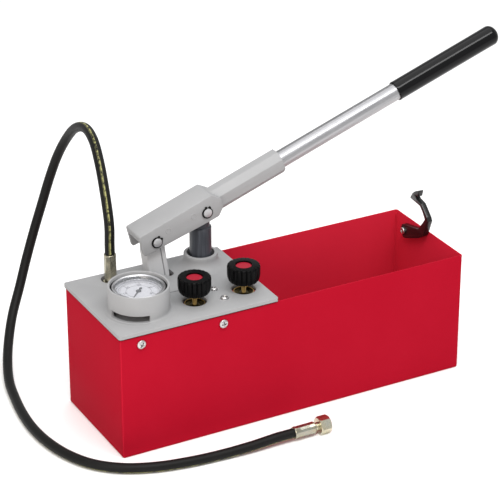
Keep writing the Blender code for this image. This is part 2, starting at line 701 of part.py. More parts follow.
def collar_form(foot):
    """The round housing that stands on the plate around the gauge."""
    outer, inner = COLLAR_DIAMETER / 2, COLLAR_BORE / 2
    step = outer + COLLAR_STEP_WIDTH
    profile = [
        (inner, collar_top - COLLAR_EDGE), (inner + COLLAR_EDGE, collar_top),
        (outer - COLLAR_EDGE, collar_top), (outer, collar_top - COLLAR_EDGE),
        (outer, plate_top + COLLAR_STEP + COLLAR_FOOT),
        (outer + COLLAR_FOOT, plate_top + COLLAR_STEP),
        (step, plate_top + COLLAR_STEP), (step + COLLAR_STEP, plate_top),
        (step + COLLAR_STEP, foot), (inner, foot),
    ]
    form = turned("collar", profile, ring=True, steps=STEPS_LARGE)
    form.location = (gauge_x, gauge_y, 0)
    return form


def boss_form(foot):
    """The boss around the piston: a short cylinder that flares out into the plate."""
    outer, base = BOSS_DIAMETER / 2, BOSS_FOOT_DIAMETER / 2
    low = boss_top - BOSS_STRAIGHT
    flare = []
    for i in range(1, 7):
        turn = pi / 2 * i / 6
        flare.append((outer + (base - outer) * (1 - cos(turn)), low + (plate_top - low) * sin(turn)))
    profile = [(0, boss_top), (outer - BOSS_EDGE, boss_top), (outer, boss_top - BOSS_EDGE), (outer, low)]
    profile += flare[:-1] + [(base, plate_top), (base, foot), (0, foot)]
    form = turned("boss", profile, steps=STEPS_LARGE)
    form.location = (pump_x, pump_y, 0)
    cut(form, box("boss_back_limit",
                  (pump_x - BOSS_FOOT_DIAMETER, plate_half_depth - PLATE_EDGE, foot - OVERRUN),
                  (pump_x + BOSS_FOOT_DIAMETER, plate_half_depth + BOSS_FOOT_DIAMETER, boss_top + OVERRUN)))
    return form


def plate_lugs():
    """Four lugs inside the tank's long walls, which the wall screws bite in."""
    lugs = []
    for i, x in enumerate(wall_screw_places):
        for side in (-1, 1):
            face = side * (wall_inside - GAP)
            back = face - side * PLATE_LUG_THICKNESS
            low = (x - PLATE_LUG_WIDTH / 2, min(face, back), plate_bottom - PLATE_LUG_DROP)
            high = (x + PLATE_LUG_WIDTH / 2, max(face, back), plate_bottom + PLATE_THICKNESS / 2)
            lugs.append(("lug_%d_%s" % (i, "front" if side < 0 else "back"), low, high))
    return lugs


def link_ears():
    """Two ears under the plate, on both sides of the link's eye."""
    ears = []
    for side in (-1, 1):
        near = pump_y + side * (LINK_THICKNESS / 2 + GAP)
        far = near + side * LINK_EAR_THICKNESS
        low = (link_pivot_x - LINK_EAR_WIDTH / 2, min(near, far), plate_bottom - LINK_EAR_DROP)
        high = (link_pivot_x + LINK_EAR_WIDTH / 2, max(near, far), plate_bottom + GAP)
        ears.append(("ear_front" if side < 0 else "ear_back", low, high))
    return ears


def link_slot():
    """Cutter of the slot that the link swings in."""
    half = LINK_SLOT_LENGTH / 2
    side = LINK_THICKNESS / 2 + LINK_SLOT_SIDE
    slot = flat("link_slot", rounded_box(-half, -side, half, side, LINK_SLOT_CORNER),
                boss_top - plate_bottom + 2 * OVERRUN)
    slot.location = (link_pivot_x + LINK_SLOT_SHIFT, pump_y, (plate_bottom + boss_top) / 2)
    return slot


def drain_cutter():
    """Cutter of the drain slot in the collar's front left side."""
    inner, outer = COLLAR_BORE / 2 - OVERRUN, COLLAR_DIAMETER / 2 + OVERRUN
    outline = arc((0, 0), outer, DRAIN_FROM, DRAIN_TO) + arc((0, 0), inner, DRAIN_TO, DRAIN_FROM)
    cutter = flat("drain_slot", outline, DRAIN_HEIGHT)
    cutter.location = (gauge_x, gauge_y, plate_top + DRAIN_RISE + DRAIN_HEIGHT / 2)
    return cutter


def plate_screw_places():
    return (block_y - PLATE_SCREW_SPACING / 2, block_y + PLATE_SCREW_SPACING / 2)


def plate_screws():
    for i, y in enumerate(plate_screw_places()):
        obj = screw_piece("plate_screw_" + str(i + 1), PLATE_SCREW_HEAD, PLATE_SCREW_HEAD_HEIGHT,
                          PLATE_SCREW_SHANK, PLATE_SCREW_LENGTH, BRIGHT_STEEL)
        obj.location = (plate_screw_x, y, plate_top + GAP)


def wall_screws():
    names = {-1: "front", 1: "back"}
    for i, x in enumerate(wall_screw_places):
        for side in (-1, 1):
            obj = screw_piece("wall_screw_%s_%d" % (names[side], i + 1), WALL_SCREW_HEAD,
                              WALL_SCREW_HEAD_HEIGHT, WALL_SCREW_SHANK,
                              WALL_SCREW_LENGTH, BRIGHT_STEEL)
            obj.location = (x, side * (TANK_DEPTH / 2 + GAP), TANK_HEIGHT - WALL_SCREW_DROP)
            obj.rotation_euler = (-side * pi / 2, 0, 0)


def pump_cylinder():
    """Flanged cylinder under the plate, its neck inside the boss and its port to the front."""
    bore, outside = cylinder_bore / 2, cylinder_outside / 2
    flange_top = plate_bottom - GAP
    flange_low = flange_top - CYLINDER_FLANGE_THICKNESS
    spigot = BOSS_BORE / 2 - GAP
    port = SUCTION_PORT / 2
    profile = [
        (bore, plate_bottom + CYLINDER_SPIGOT), (spigot, plate_bottom + CYLINDER_SPIGOT),
        (spigot, flange_top), (CYLINDER_FLANGE / 2, flange_top), (CYLINDER_FLANGE / 2, flange_low),
        (outside, flange_low), (outside, cylinder_bottom), (port, cylinder_bottom),
        (port, cylinder_chamber), (bore, cylinder_chamber),
    ]
    obj = turned("pump_cylinder", profile, BRASS, ring=True)
    obj.location = (pump_x, pump_y, 0)
    face = pump_y - outside - PORT_BOSS_REACH
    wall = outside - bore
    join(obj, rod("cylinder_port_boss", (0, face - pump_y, pipe_z), (0, wall / 2 - outside, pipe_z),
                  PORT_BOSS))
    cut(obj, rod("cylinder_port_socket", (0, face - pump_y - OVERRUN, pipe_z),
                 (0, face - pump_y + PIPE_SOCKET, pipe_z), PIPE_DIAMETER + 2 * GAP))
    for tool in ("cylinder_port_boss", "cylinder_port_socket"):
        bpy.data.objects[tool].parent = obj
    return smooth(obj)


def wiper_ring():
    """Rubber wiper in the boss, above the cylinder's neck."""
    inner, outer = PISTON_DIAMETER / 2 + GAP, BOSS_BORE / 2 - GAP
    low = plate_bottom + CYLINDER_SPIGOT + GAP
    high = low + WIPER_HEIGHT
    middle = (inner + outer) / 2
    obj = turned("wiper_ring", [(inner, high), (inner + WIPER_LIP, high), (middle, high - WIPER_LIP),
                                (outer, high - WIPER_LIP), (outer, low), (inner, low)],
                 BLACK_RUBBER, ring=True)
    obj.location = (pump_x, pump_y, 0)
    return smooth(obj)


def foot_valve():
    """Hexagonal valve body screwed into the cylinder's floor, with the suction pipe under it."""
    neck = SUCTION_PORT / 2 - GAP
    top = cylinder_chamber - GAP
    seat = cylinder_bottom - GAP
    low = seat - FOOT_VALVE_HEIGHT
    pipe_end = TANK_WALL + STRAINER_CLEAR + STRAINER_HEIGHT - STRAINER_WALL + GAP
    obj = turned("foot_valve", [(0, top), (neck, top), (neck, pipe_end), (0, pipe_end)], BRASS)
    obj.location = (pump_x, pump_y, 0)
    hexagon = rod("foot_valve_hex", (0, 0, low), (0, 0, seat), FOOT_VALVE_HEX / cos(pi / 6), sides=6)
    passage = rod("foot_valve_passage", (0, 0, pipe_end - OVERRUN), (0, 0, top + OVERRUN),
                  SUCTION_PIPE_BORE)
    hexagon.parent = passage.parent = obj
    join(obj, hexagon)
    cut(obj, passage)
    return smooth(obj)


def suction_strainer():
    """Slotted cup around the end of the suction pipe."""
    outer = STRAINER_DIAMETER / 2
    low = TANK_WALL + STRAINER_CLEAR
    high = low + STRAINER_HEIGHT
    inner = SUCTION_PORT / 2
    wall = STRAINER_WALL
    obj = turned("suction_strainer", [
        (inner, high), (outer - wall, high), (outer, high - wall), (outer, low), (0, low),
        (0, low + wall), (outer - wall, low + wall),
        (outer - wall, high - 2 * wall), (inner, high - 2 * wall),
    ], BLACK_PLASTIC, ring=True)
    obj.location = (pump_x, pump_y, 0)
    middle = (low + high) / 2
    for i in range(STRAINER_SLOTS // 2):
        slot = box("strainer_slot_" + str(i), (-outer - OVERRUN, -STRAINER_SLOT_WIDTH / 2,
                                              middle - STRAINER_SLOT_HEIGHT / 2),
                   (outer + OVERRUN, STRAINER_SLOT_WIDTH / 2, middle + STRAINER_SLOT_HEIGHT / 2))
        slot.rotation_euler.z = pi * i / (STRAINER_SLOTS // 2)
        slot.parent = obj
        cut(obj, slot)
    return smooth(obj)


def piston(slide):
    """Plunger with a groove for its seal and a neck that reaches up between the lever's cheeks."""
    body, neck = PISTON_DIAMETER / 2, PISTON_NECK / 2
    groove = body - SEAL_GROOVE_DEPTH
    seal_low = SEAL_RISE - PISTON_LENGTH - GAP
    seal_high = seal_low + SEAL_WIDTH + 2 * GAP
    low = -PISTON_LENGTH
    profile = [(neck * sin(pi / 2 * i / 5), neck * cos(pi / 2 * i / 5)) for i in range(6)]
    profile += [
        (neck, PISTON_CHAMFER - PISTON_SHOULDER), (body, -PISTON_SHOULDER), (body, seal_high),
        (groove, seal_high), (groove, seal_low), (body, seal_low), (body, low + SMALL_BREAK),
        (body - SMALL_BREAK, low), (0, low),
    ]
    obj = turned("piston", profile, SLATE_PISTON)
    hole = rod("piston_pin_hole", (0, -body - OVERRUN, 0), (0, body + OVERRUN, 0),
               PIN_DIAMETER + 2 * GAP, sides=STEPS_MEDIUM)
    inner, outer = groove + GAP, body + SEAL_CLEARANCE
    seal = turned("piston_seal", [(inner, seal_high - GAP), (outer, seal_high - GAP),
                                  (outer, seal_low + GAP), (inner, seal_low + GAP)],
                  BLACK_RUBBER, ring=True)
    carry(slide, obj, seal, hole)
    cut(obj, hole)
    smooth(obj)
    smooth(seal)


def lever_yoke(lever):
    """Casting of the lever: a channel over the pins that runs into an eight-sided sleeve."""
    left, right = -PIN_SPACING - YOKE_LEFT, YOKE_RIGHT
    slope = YOKE_RIGHT * YOKE_SLOPE_SHARE
    top, low = YOKE_ABOVE, -YOKE_BELOW
    corner = SLEEVE_HEIGHT / 2
    body = flat("lever_yoke", rounded([
        (slope, top, YOKE_EDGE), (left, top, YOKE_EDGE), (left, low, YOKE_EDGE),
        (0, -YOKE_HEEL, YOKE_EDGE), (slope, -YOKE_HEEL, YOKE_EDGE), (right, low / 2, YOKE_EDGE),
        (right, corner / 2, YOKE_EDGE)]), YOKE_WIDTH, GREY_CASTING)
    body.rotation_euler = FACING_FRONT
    bevel(body, YOKE_EDGE)
    width, height, chamfer = SLEEVE_WIDTH / 2, SLEEVE_HEIGHT / 2, SLEEVE_CHAMFER
    section = [
        (height, width - chamfer), (height - chamfer, width), (chamfer - height, width),
        (-height, width - chamfer), (-height, chamfer - width), (chamfer - height, -width),
        (height - chamfer, -width), (height, chamfer - width),
    ]
    sleeve = flat("sleeve", section, SLEEVE_END)
    sleeve.rotation_euler = ALONG_X
    sleeve.location.x = SLEEVE_END / 2
    bevel(sleeve, SLEEVE_EDGE, 1)
    inner = YOKE_WIDTH / 2 - YOKE_CHEEK
    ceiling = YOKE_ABOVE - YOKE_ROOF
    outside = left - OVERRUN
    cavity = flat("yoke_cavity", [
        (YOKE_CAVITY_RIGHT, ceiling),
        (left + YOKE_LIP, ceiling), (left + YOKE_LIP, ceiling - YOKE_LIP_DEPTH),
        (outside, ceiling - YOKE_LIP_DEPTH), (outside, -2 * YOKE_HEEL), (YOKE_CAVITY_RIGHT, -2 * YOKE_HEEL),
    ], 2 * inner)
    cavity.rotation_euler = FACING_FRONT
    bore = rod("tube_bore", (TUBE_START - GAP, 0, 0), (SLEEVE_END + OVERRUN, 0, 0),
               TUBE_DIAMETER + 2 * GAP, sides=STEPS_MEDIUM)
    reach = YOKE_WIDTH / 2 + OVERRUN
    holes = [rod(name, (x, -reach, 0), (x, reach, 0), PIN_DIAMETER + 2 * GAP, sides=STEPS_MEDIUM)
             for name, x in (("yoke_piston_hole", 0), ("yoke_link_hole", -PIN_SPACING))]
    carry(lever, body, sleeve, cavity, bore, *holes)
    join(body, sleeve)
    cut(body, cavity, bore, *holes)
    return smooth(body)


def cross_pin(name, finish):
    """Pin along Y with a groove at each end for its retaining rings."""
    radius = PIN_DIAMETER / 2
    face = YOKE_WIDTH / 2
    groove_out = face + 2 * GAP + RING_THICKNESS
    end = groove_out + PIN_END
    groove = radius - RING_GROOVE_DEPTH
    half = [(0, end), (radius - SMALL_BREAK, end), (radius, end - SMALL_BREAK), (radius, groove_out),
            (groove, groove_out), (groove, face), (radius, face)]
    profile = half + [(r, -z) for r, z in reversed(half)]
    obj = turned(name, profile, finish, steps=STEPS_PIN)
    obj.rotation_euler = (pi / 2, 0, 0)
    return smooth(obj)


def retaining_ring(name, opening):
    """Open spring ring with two ears at its gap, seen from the front."""
    inner = PIN_DIAMETER / 2 - RING_GROOVE_DEPTH + GAP
    outer = inner + RING_WIDTH
    ear = outer + RING_EAR
    start, end = opening + RING_OPENING / 2, opening + 2 * pi - RING_OPENING / 2
    ear_angle = RING_OPENING / 2
    outline = arc((0, 0), outer, start + ear_angle, end - ear_angle)
    outline += [(ear * cos(end - ear_angle), ear * sin(end - ear_angle)), (ear * cos(end), ear * sin(end))]
    outline += arc((0, 0), inner, end, start)
    outline += [(ear * cos(start), ear * sin(start)),
                (ear * cos(start + ear_angle), ear * sin(start + ear_angle))]
    return smooth(flat(name, outline, RING_THICKNESS, DARK_STEEL))


def lever_pins(lever):
    """Both pins with a retaining ring on each end."""
    offset = YOKE_WIDTH / 2 + GAP + RING_THICKNESS / 2
    for name, x, opening in (("link", -PIN_SPACING, RING_TURNS[0]), ("piston", 0, RING_TURNS[1])):
        pin = cross_pin("lever_%s_pin" % name, BRIGHT_STEEL)
        pin.location.x = x
        carry(lever, pin)
        for side, label in ((-1, "front"), (1, "back")):
            ring = retaining_ring("retaining_ring_%s_%s" % (name, label), opening - LEVER_ANGLE)
            ring.rotation_euler = FACING_FRONT
            ring.location = (x, side * offset, 0)
            carry(lever, ring)


def handle(lever):
    """Aluminium tube pushed into the sleeve, with a dipped grip over its free end."""
    outer = TUBE_DIAMETER / 2
    tube = turned("handle_tube", [(outer - TUBE_WALL, TUBE_END), (outer, TUBE_END), (outer, TUBE_START),
                                  (outer - TUBE_WALL, TUBE_START)], POLISHED_TUBE, ring=True)
    skin, hollow = GRIP_DIAMETER / 2, TUBE_DIAMETER / 2 + GAP
    dome = [(skin * sin(pi / 2 * i / 5), grip_end - skin + skin * cos(pi / 2 * i / 5)) for i in range(6)]
    dome = [(r, grip_end - (grip_end - z) * GRIP_DOME_SHARE) for r, z in dome]
    profile = dome + [(skin, grip_start + GRIP_LIP), (skin - GRIP_LIP, grip_start), (hollow, grip_start),
                      (hollow, TUBE_END + GAP), (0, TUBE_END + GAP)]
    grip = turned("handle_grip", profile, BLACK_GRIP)
    for piece in (tube, grip):
        piece.rotation_euler = ALONG_X
        smooth(piece)
    carry(lever, tube, grip)


def rocker_link(link):
    """Cast link: an eye in the plate, a ribbed shank and a head between the lever's cheeks."""
    half = LINK_WIDTH / 2
    eye, head = LINK_EYE / 2, LINK_HEAD / 2
    head_x, head_z = LINK_HEAD_RIGHT, link_length + LINK_HEAD_UP
    shoulder = link_length - head - LINK_POCKET_MARGIN
    hip = eye + LINK_POCKET_DEPTH
    outline = arc((0, 0), eye, -pi, 0) + [(half, hip), (half, shoulder)]
    outline += arc((head_x, head_z), head, 0, pi) + [(-half, shoulder), (-half, hip)]
    obj = flat("rocker_link", outline, LINK_THICKNESS, GREY_CASTING)
    obj.rotation_euler = FACING_FRONT
    bevel(obj, SMALL_BREAK, 1)
    inner = YOKE_WIDTH / 2 - YOKE_CHEEK - GAP
    hub = rod("link_hub", (head_x, -inner, head_z), (head_x, inner, head_z), LINK_HEAD - 2 * SMALL_BREAK,
              sides=STEPS_MEDIUM)
    room = hypot(LINK_HEAD_RIGHT, LINK_HEAD_UP)
    hole = rod("link_head_hole", (head_x, -inner - OVERRUN, head_z), (head_x, inner + OVERRUN, head_z),
               PIN_DIAMETER + 2 * GAP + 2 * room, sides=STEPS_MEDIUM)
    eye_hole = rod("link_eye_hole", (0, -inner, 0), (0, inner, 0), LINK_PIN_DIAMETER + 2 * GAP)
    carry(link, obj, hub, hole, eye_hole)
    join(obj, hub)
    cut(obj, hole, eye_hole)
    face = LINK_THICKNESS / 2
    for side in (-1, 1):
        low_y, high_y = sorted((side * (face - LINK_POCKET_DEPTH), side * (face + OVERRUN)))
        pocket = box("link_pocket_" + ("front" if side < 0 else "back"),
                     (LINK_POCKET_MARGIN - half, low_y, hip + LINK_POCKET_MARGIN),
                     (half - LINK_POCKET_MARGIN, high_y, shoulder - LINK_POCKET_MARGIN))
        carry(link, pocket)
        cut(obj, pocket)
    return smooth(obj)


def link_base_pin():
    reach = LINK_THICKNESS / 2 + GAP + LINK_EAR_THICKNESS
    return smooth(rod("link_base_pin", (link_pivot_x, pump_y - reach, link_pivot_z),
                      (link_pivot_x, pump_y + reach, link_pivot_z), LINK_PIN_DIAMETER, BRIGHT_STEEL))


def gauge_body():
    """Case, movement, dial, glass and bezel of the gauge, and the stem into the valve block."""
    place = (gauge_x, gauge_y, 0)
    case, wall = CASE_DIAMETER / 2, CASE_WALL
    rim = glass_top - GLASS_THICKNESS - GAP
    stem = STEM_DIAMETER / 2
    hole = stem + GAP
    pieces = [turned("gauge_case", [
        (case - wall, rim), (case, rim), (case, case_bottom), (hole, case_bottom),
        (hole, case_bottom + wall), (case - wall, case_bottom + wall),
    ], BRIGHT_STEEL, ring=True, steps=STEPS_LARGE)]
    outer, opening = BEZEL_DIAMETER / 2, BEZEL_OPENING / 2
    shelf = case + GAP
    low = bezel_top - BEZEL_HEIGHT
    pieces.append(turned("gauge_bezel", [
        (opening, bezel_top - BEZEL_LIP / 2),
        (opening + BEZEL_LIP, bezel_top), (outer - BEZEL_LIP, bezel_top),
        (outer, bezel_top - BEZEL_LIP), (outer, low), (shelf, low), (shelf, glass_top + GAP),
        (opening, glass_top + GAP),
    ], BRIGHT_STEEL, ring=True, steps=STEPS_LARGE))
    glass = case
    glass_low = glass_top - GLASS_THICKNESS
    pieces.append(turned("gauge_glass", [(0, glass_top), (glass, glass_top), (glass, glass_low), (0, glass_low)],
                         CLEAR_GLASS, steps=STEPS_LARGE))
    disc, shaft = case - wall - GAP, NEEDLE_SHAFT / 2
    pieces.append(turned("gauge_dial", [
        (shaft + GAP, dial_top), (disc, dial_top), (disc, dial_top - DIAL_THICKNESS),
        (shaft + GAP, dial_top - DIAL_THICKNESS)], WHITE_DIAL, ring=True, steps=STEPS_LARGE))
    under = dial_top - DIAL_THICKNESS - GAP
    shaft_top = dial_top + 2 * GAP + NEEDLE_THICKNESS
    pieces.append(turned("gauge_movement", [
        (0, shaft_top), (shaft, shaft_top), (shaft, under), (MOVEMENT_DIAMETER / 2, under),
        (MOVEMENT_DIAMETER / 2, under - MOVEMENT_HEIGHT), (stem, under - MOVEMENT_HEIGHT),
        (stem, case_bottom + wall + GAP), (0, case_bottom + wall + GAP)], BRASS))
    socket = block_top - PIPE_SOCKET
    hex_top = case_bottom - GAP
    stem_piece = turned("gauge_stem", [
        (0, case_bottom + wall), (stem, case_bottom + wall), (stem, socket), (0, socket)], BRASS)
    hexagon = rod("stem_hex", (0, 0, hex_top - STEM_HEX_HEIGHT), (0, 0, hex_top),
                  STEM_HEX / cos(pi / 6), sides=6)
    hexagon.parent = stem_piece
    join(stem_piece, hexagon)
    pieces.append(stem_piece)
    for piece in pieces:
        piece.location = place
        smooth(piece)


def gauge_needle(needle):
    """Pointer with a counterweight and a hub that sits on the movement's shaft."""
    half = NEEDLE_WIDTH / 2
    tail = half + SMALL_BREAK
    tip = SMALL_BREAK / 2
    outline = [(NEEDLE_LENGTH, tip), (0, half), (-NEEDLE_TAIL, tail), (-NEEDLE_TAIL, -tail), (0, -half),
               (NEEDLE_LENGTH, -tip)]
    obj = flat("gauge_needle", outline, NEEDLE_THICKNESS, BLACK_PLASTIC)
    hub = rod("needle_hub", (0, 0, -NEEDLE_THICKNESS / 2), (0, 0, NEEDLE_THICKNESS), NEEDLE_HUB)
    hole = rod("needle_hole", (0, 0, -OVERRUN), (0, 0, OVERRUN), NEEDLE_SHAFT + 2 * GAP)
    carry(needle, obj, hub, hole)
    join(obj, hub)
    cut(obj, hole)
    return smooth(obj)


def valve_knob(name, valve):
    """Fluted black knob, narrower at its foot, with a recess for its cap."""
    outer, foot, belly = KNOB_DIAMETER / 2, KNOB_FOOT / 2, KNOB_BELLY / 2
    top = KNOB_HEIGHT
    edge = KNOB_EDGE
    form = turned(name, [
        (0, top), (outer - 2 * edge, top), (outer - edge / 2, top - edge), (outer, top - 2 * edge),
        (belly, top * KNOB_BELLY_SHARE), (foot + edge, edge), (foot, 0), (0, 0)],
        BLACK_PLASTIC, steps=KNOB_FLUTES)
    step = 2 * pi / KNOB_FLUTES
    valley = KNOB_FLUTE_SHARE * step / 2
    outline = []
    for i in range(KNOB_FLUTES):
        middle = i * step
        for turn, radius in ((-2 * valley, outer + edge), (0, outer - KNOB_FLUTE_DEPTH),
                             (2 * valley, outer + edge)):
            outline.append((radius * cos(middle + turn), radius * sin(middle + turn)))
    prism = flat(name + "_flutes", outline, top + 2 * OVERRUN)
    prism.location.z = top / 2
    recess = rod(name + "_recess", (0, 0, top - CAP_SINK - CAP_THICKNESS - GAP), (0, 0, top + OVERRUN),
                 CAP_DIAMETER + 2 * GAP, sides=STEPS_MEDIUM)
    socket = rod(name + "_socket", (0, 0, -OVERRUN), (0, 0, top - SPINDLE_SEAT + GAP),
                 SPINDLE_DIAMETER + 2 * GAP)
    carry(valve, form, prism, recess, socket)
    boolean(form, prism, "INTERSECT")
    cut(form, recess, socket)
    return smooth(form)


def valves():
    """Two screw-down valves: bonnet on the block, spindle, knob and cap."""
    raise_up = plate_top + KNOB_RAISE
    for number, (x, y) in enumerate(valve_places, 1):
        valve = pivot("valve_axis_%d" % number, (x, y, raise_up))
        valve_knob("valve_knob_%d" % number, valve)
        cap_top = KNOB_HEIGHT - CAP_SINK
        cap = turned("knob_cap_%d" % number, [
            (0, cap_top), (CAP_DIAMETER / 2 - SMALL_BREAK, cap_top),
            (CAP_DIAMETER / 2, cap_top - SMALL_BREAK),
            (CAP_DIAMETER / 2, cap_top - CAP_THICKNESS), (0, cap_top - CAP_THICKNESS)], RED_PLASTIC)
        spindle_low = block_top - SPINDLE_DEPTH - raise_up
        spindle = rod("valve_spindle_%d" % number, (0, 0, spindle_low), (0, 0, KNOB_HEIGHT - SPINDLE_SEAT),
                      SPINDLE_DIAMETER, BRASS)
        carry(valve, cap, spindle)
        low = block_top + GAP
        bore = SPINDLE_DIAMETER / 2 + GAP
        bonnet = turned("valve_bonnet_%d" % number, [
            (bore, low + BONNET_HEIGHT), (BONNET_NECK / 2, low + BONNET_HEIGHT),
            (BONNET_NECK / 2, low + BONNET_FLANGE), (BONNET_DIAMETER / 2, low + BONNET_FLANGE),
            (BONNET_DIAMETER / 2, low), (bore, low)], BRASS, ring=True)
        bonnet.location = (x, y, 0)
        for piece in (cap, spindle, bonnet):
            smooth(piece)


def valve_block():
    """Brass block under the plate that joins pump, valves, gauge and hose."""
    left, right = valve_left - BLOCK_END, valve_right + BLOCK_END
    obj = box("valve_block", (left, block_y - BLOCK_DEPTH / 2, block_bottom),
              (right, block_back, block_top), BRASS)
    bevel(obj, BLOCK_EDGE, 1)
    arm = box("block_arm",
              (gauge_x - BLOCK_ARM_END, gauge_y - BLOCK_ARM_DEPTH / 2, block_bottom + BLOCK_EDGE),
              (left + 2 * BLOCK_EDGE, gauge_y + BLOCK_ARM_DEPTH / 2, block_top - GAP))
    join(obj, arm)
    for i, y in enumerate(plate_screw_places()):
        join(obj, rod("block_post_" + str(i), (plate_screw_x, y, block_top - BLOCK_POST / 2),
                      (plate_screw_x, y, plate_bottom - GAP), BLOCK_POST))
        cut(obj, rod("block_thread_" + str(i), (plate_screw_x, y, plate_top - PLATE_SCREW_LENGTH - GAP),
                     (plate_screw_x, y, plate_top), PLATE_SCREW_SHANK + 2 * GAP))
    for i, (x, y) in enumerate(valve_places):
        cut(obj, rod("block_spindle_bore_" + str(i), (x, y, block_top - SPINDLE_DEPTH - GAP),
                     (x, y, block_top + OVERRUN), SPINDLE_DIAMETER + 2 * GAP))
    cut(obj, rod("block_stem_socket", (gauge_x, gauge_y, block_top - PIPE_SOCKET - GAP),
                 (gauge_x, gauge_y, block_top + OVERRUN), STEM_DIAMETER + 2 * GAP))
    arm_back = gauge_y + BLOCK_ARM_DEPTH / 2
    sockets = (("block_pump_socket", pump_x, block_back), ("block_hose_socket", hose_x, arm_back))
    for name, x, face in sockets:
        cut(obj, rod(name, (x, face - PIPE_SOCKET - GAP, pipe_z), (x, face + OVERRUN, pipe_z),
                     PIPE_DIAMETER + 2 * GAP))
    return smooth(obj)


def pipes():
    """Straight pipes from the cylinder to the block and from the block to the hose."""
    cylinder_face = pump_y - cylinder_outside / 2 - PORT_BOSS_REACH
    smooth(rod("pump_pipe", (pump_x, block_back - PIPE_SOCKET, pipe_z),
               (pump_x, cylinder_face + PIPE_SOCKET - GAP, pipe_z), PIPE_DIAMETER, BRIGHT_STEEL))
    arm_back = gauge_y + BLOCK_ARM_DEPTH / 2
    fitting_face = hose_y - FITTING_BODY / 2
    smooth(rod("hose_pipe", (hose_x, arm_back - PIPE_SOCKET, pipe_z),
               (hose_x, fitting_face + PIPE_SOCKET - GAP, pipe_z), PIPE_DIAMETER, BRIGHT_STEEL))


def hose_fitting():
    """Elbow under the plate: a square body, a hexagon in the plate's hole and a nipple above it."""
    half = FITTING_BODY / 2
    ferrule_low = plate_top + FERRULE_TOP_RAISE - FERRULE_TOP_LENGTH
    low = plate_top - FITTING_DROP
    hex_low = ferrule_low - GAP - FITTING_HEX_HEIGHT
    obj = box("hose_fitting", (hose_x - half, hose_y - half, low),
              (hose_x + half, hose_y + half, hex_low - GAP),
              YELLOW_ZINC)
    bevel(obj, BLOCK_EDGE, 1)
    join(obj, rod("fitting_hex", (hose_x, hose_y, hex_low - BLOCK_EDGE), (hose_x, hose_y, ferrule_low - GAP),
                  FITTING_HEX / cos(pi / 6), sides=6))
    cut(obj, rod("fitting_socket", (hose_x, hose_y - half - OVERRUN, pipe_z),
                 (hose_x, hose_y - half + PIPE_SOCKET, pipe_z), PIPE_DIAMETER + 2 * GAP))
    return smooth(obj)


def ferrule(name, length):
    """Crimped sleeve about Z, its hose end at z = 0 and the rest below."""
    radius, edge = FERRULE_DIAMETER / 2, FERRULE_EDGE
    return smooth(turned(name, [(0, 0), (radius - edge, 0), (radius, -edge), (radius, edge - length),
                                (radius - edge, -length), (0, -length)], YELLOW_ZINC))


def smooth_route(points, spacing):
    """Points at even spacing along a smooth curve (Catmull-Rom); both end stretches stay straight."""
    fine = []
    for before, start, end, after in zip(points, points[1:], points[2:], points[3:]):
        for i in range(12):
            t = i / 12
            fine.append(0.5 * (2 * start + (end - before) * t
                               + (2 * before - 5 * start + 4 * end - after) * t ** 2
                               + (3 * start - before - 3 * end + after) * t ** 3))
    fine.append(points[-2])
    lengths = [0.0]
    for a, b in zip(fine, fine[1:]):
        lengths.append(lengths[-1] + (b - a).length)
    count = round(lengths[-1] / spacing)
    route, i = [points[0]], 0
    for k in range(count + 1):
        target = lengths[-1] * k / count
        while i < len(fine) - 2 and lengths[i + 1] < target:
            i += 1
        share = (target - lengths[i]) / (lengths[i + 1] - lengths[i])
        route.append(fine[i].lerp(fine[i + 1], share))
    return route + [points[-1]]


def hose():
    """The free hose, straight out of the upper ferrule and on to the lower one."""
    top = plate_top + FERRULE_TOP_RAISE
    upper = ferrule("hose_ferrule_upper", FERRULE_TOP_LENGTH)
    upper.location = (hose_x, hose_y, top)
    points = [Vector((hose_x, hose_y, top + GAP)), Vector((hose_x, hose_y, top + HOSE_DIAMETER))]
    points += [Vector((hose_x + x, hose_y + y, max(z, hose_floor))) for x, y, z in HOSE_ROUTE]
    points += [hose_stop - Vector((HOSE_DIAMETER, 0, 0)), hose_stop - Vector((GAP, 0, 0))]
    curve = bpy.data.curves.new("hose", "CURVE")
    curve.dimensions = "3D"
    curve.bevel_depth = HOSE_DIAMETER / 2
    curve.bevel_resolution = HOSE_SIDES_RESOLUTION
    curve.use_fill_caps = True
    route = smooth_route(points, HOSE_POINT_SPACING)
    spline = curve.splines.new("POLY")
    spline.points.add(len(route) - 1)
    for point, place in zip(spline.points, route):
        point.co = (*place, 1)
    smooth(curve_to_mesh(link_object("hose", curve, None), BLACK_RUBBER))
    lower = ferrule("hose_ferrule_lower", FERRULE_END_LENGTH)
    lower.rotation_euler = (0, -pi / 2, 0)
    lower.location = hose_stop


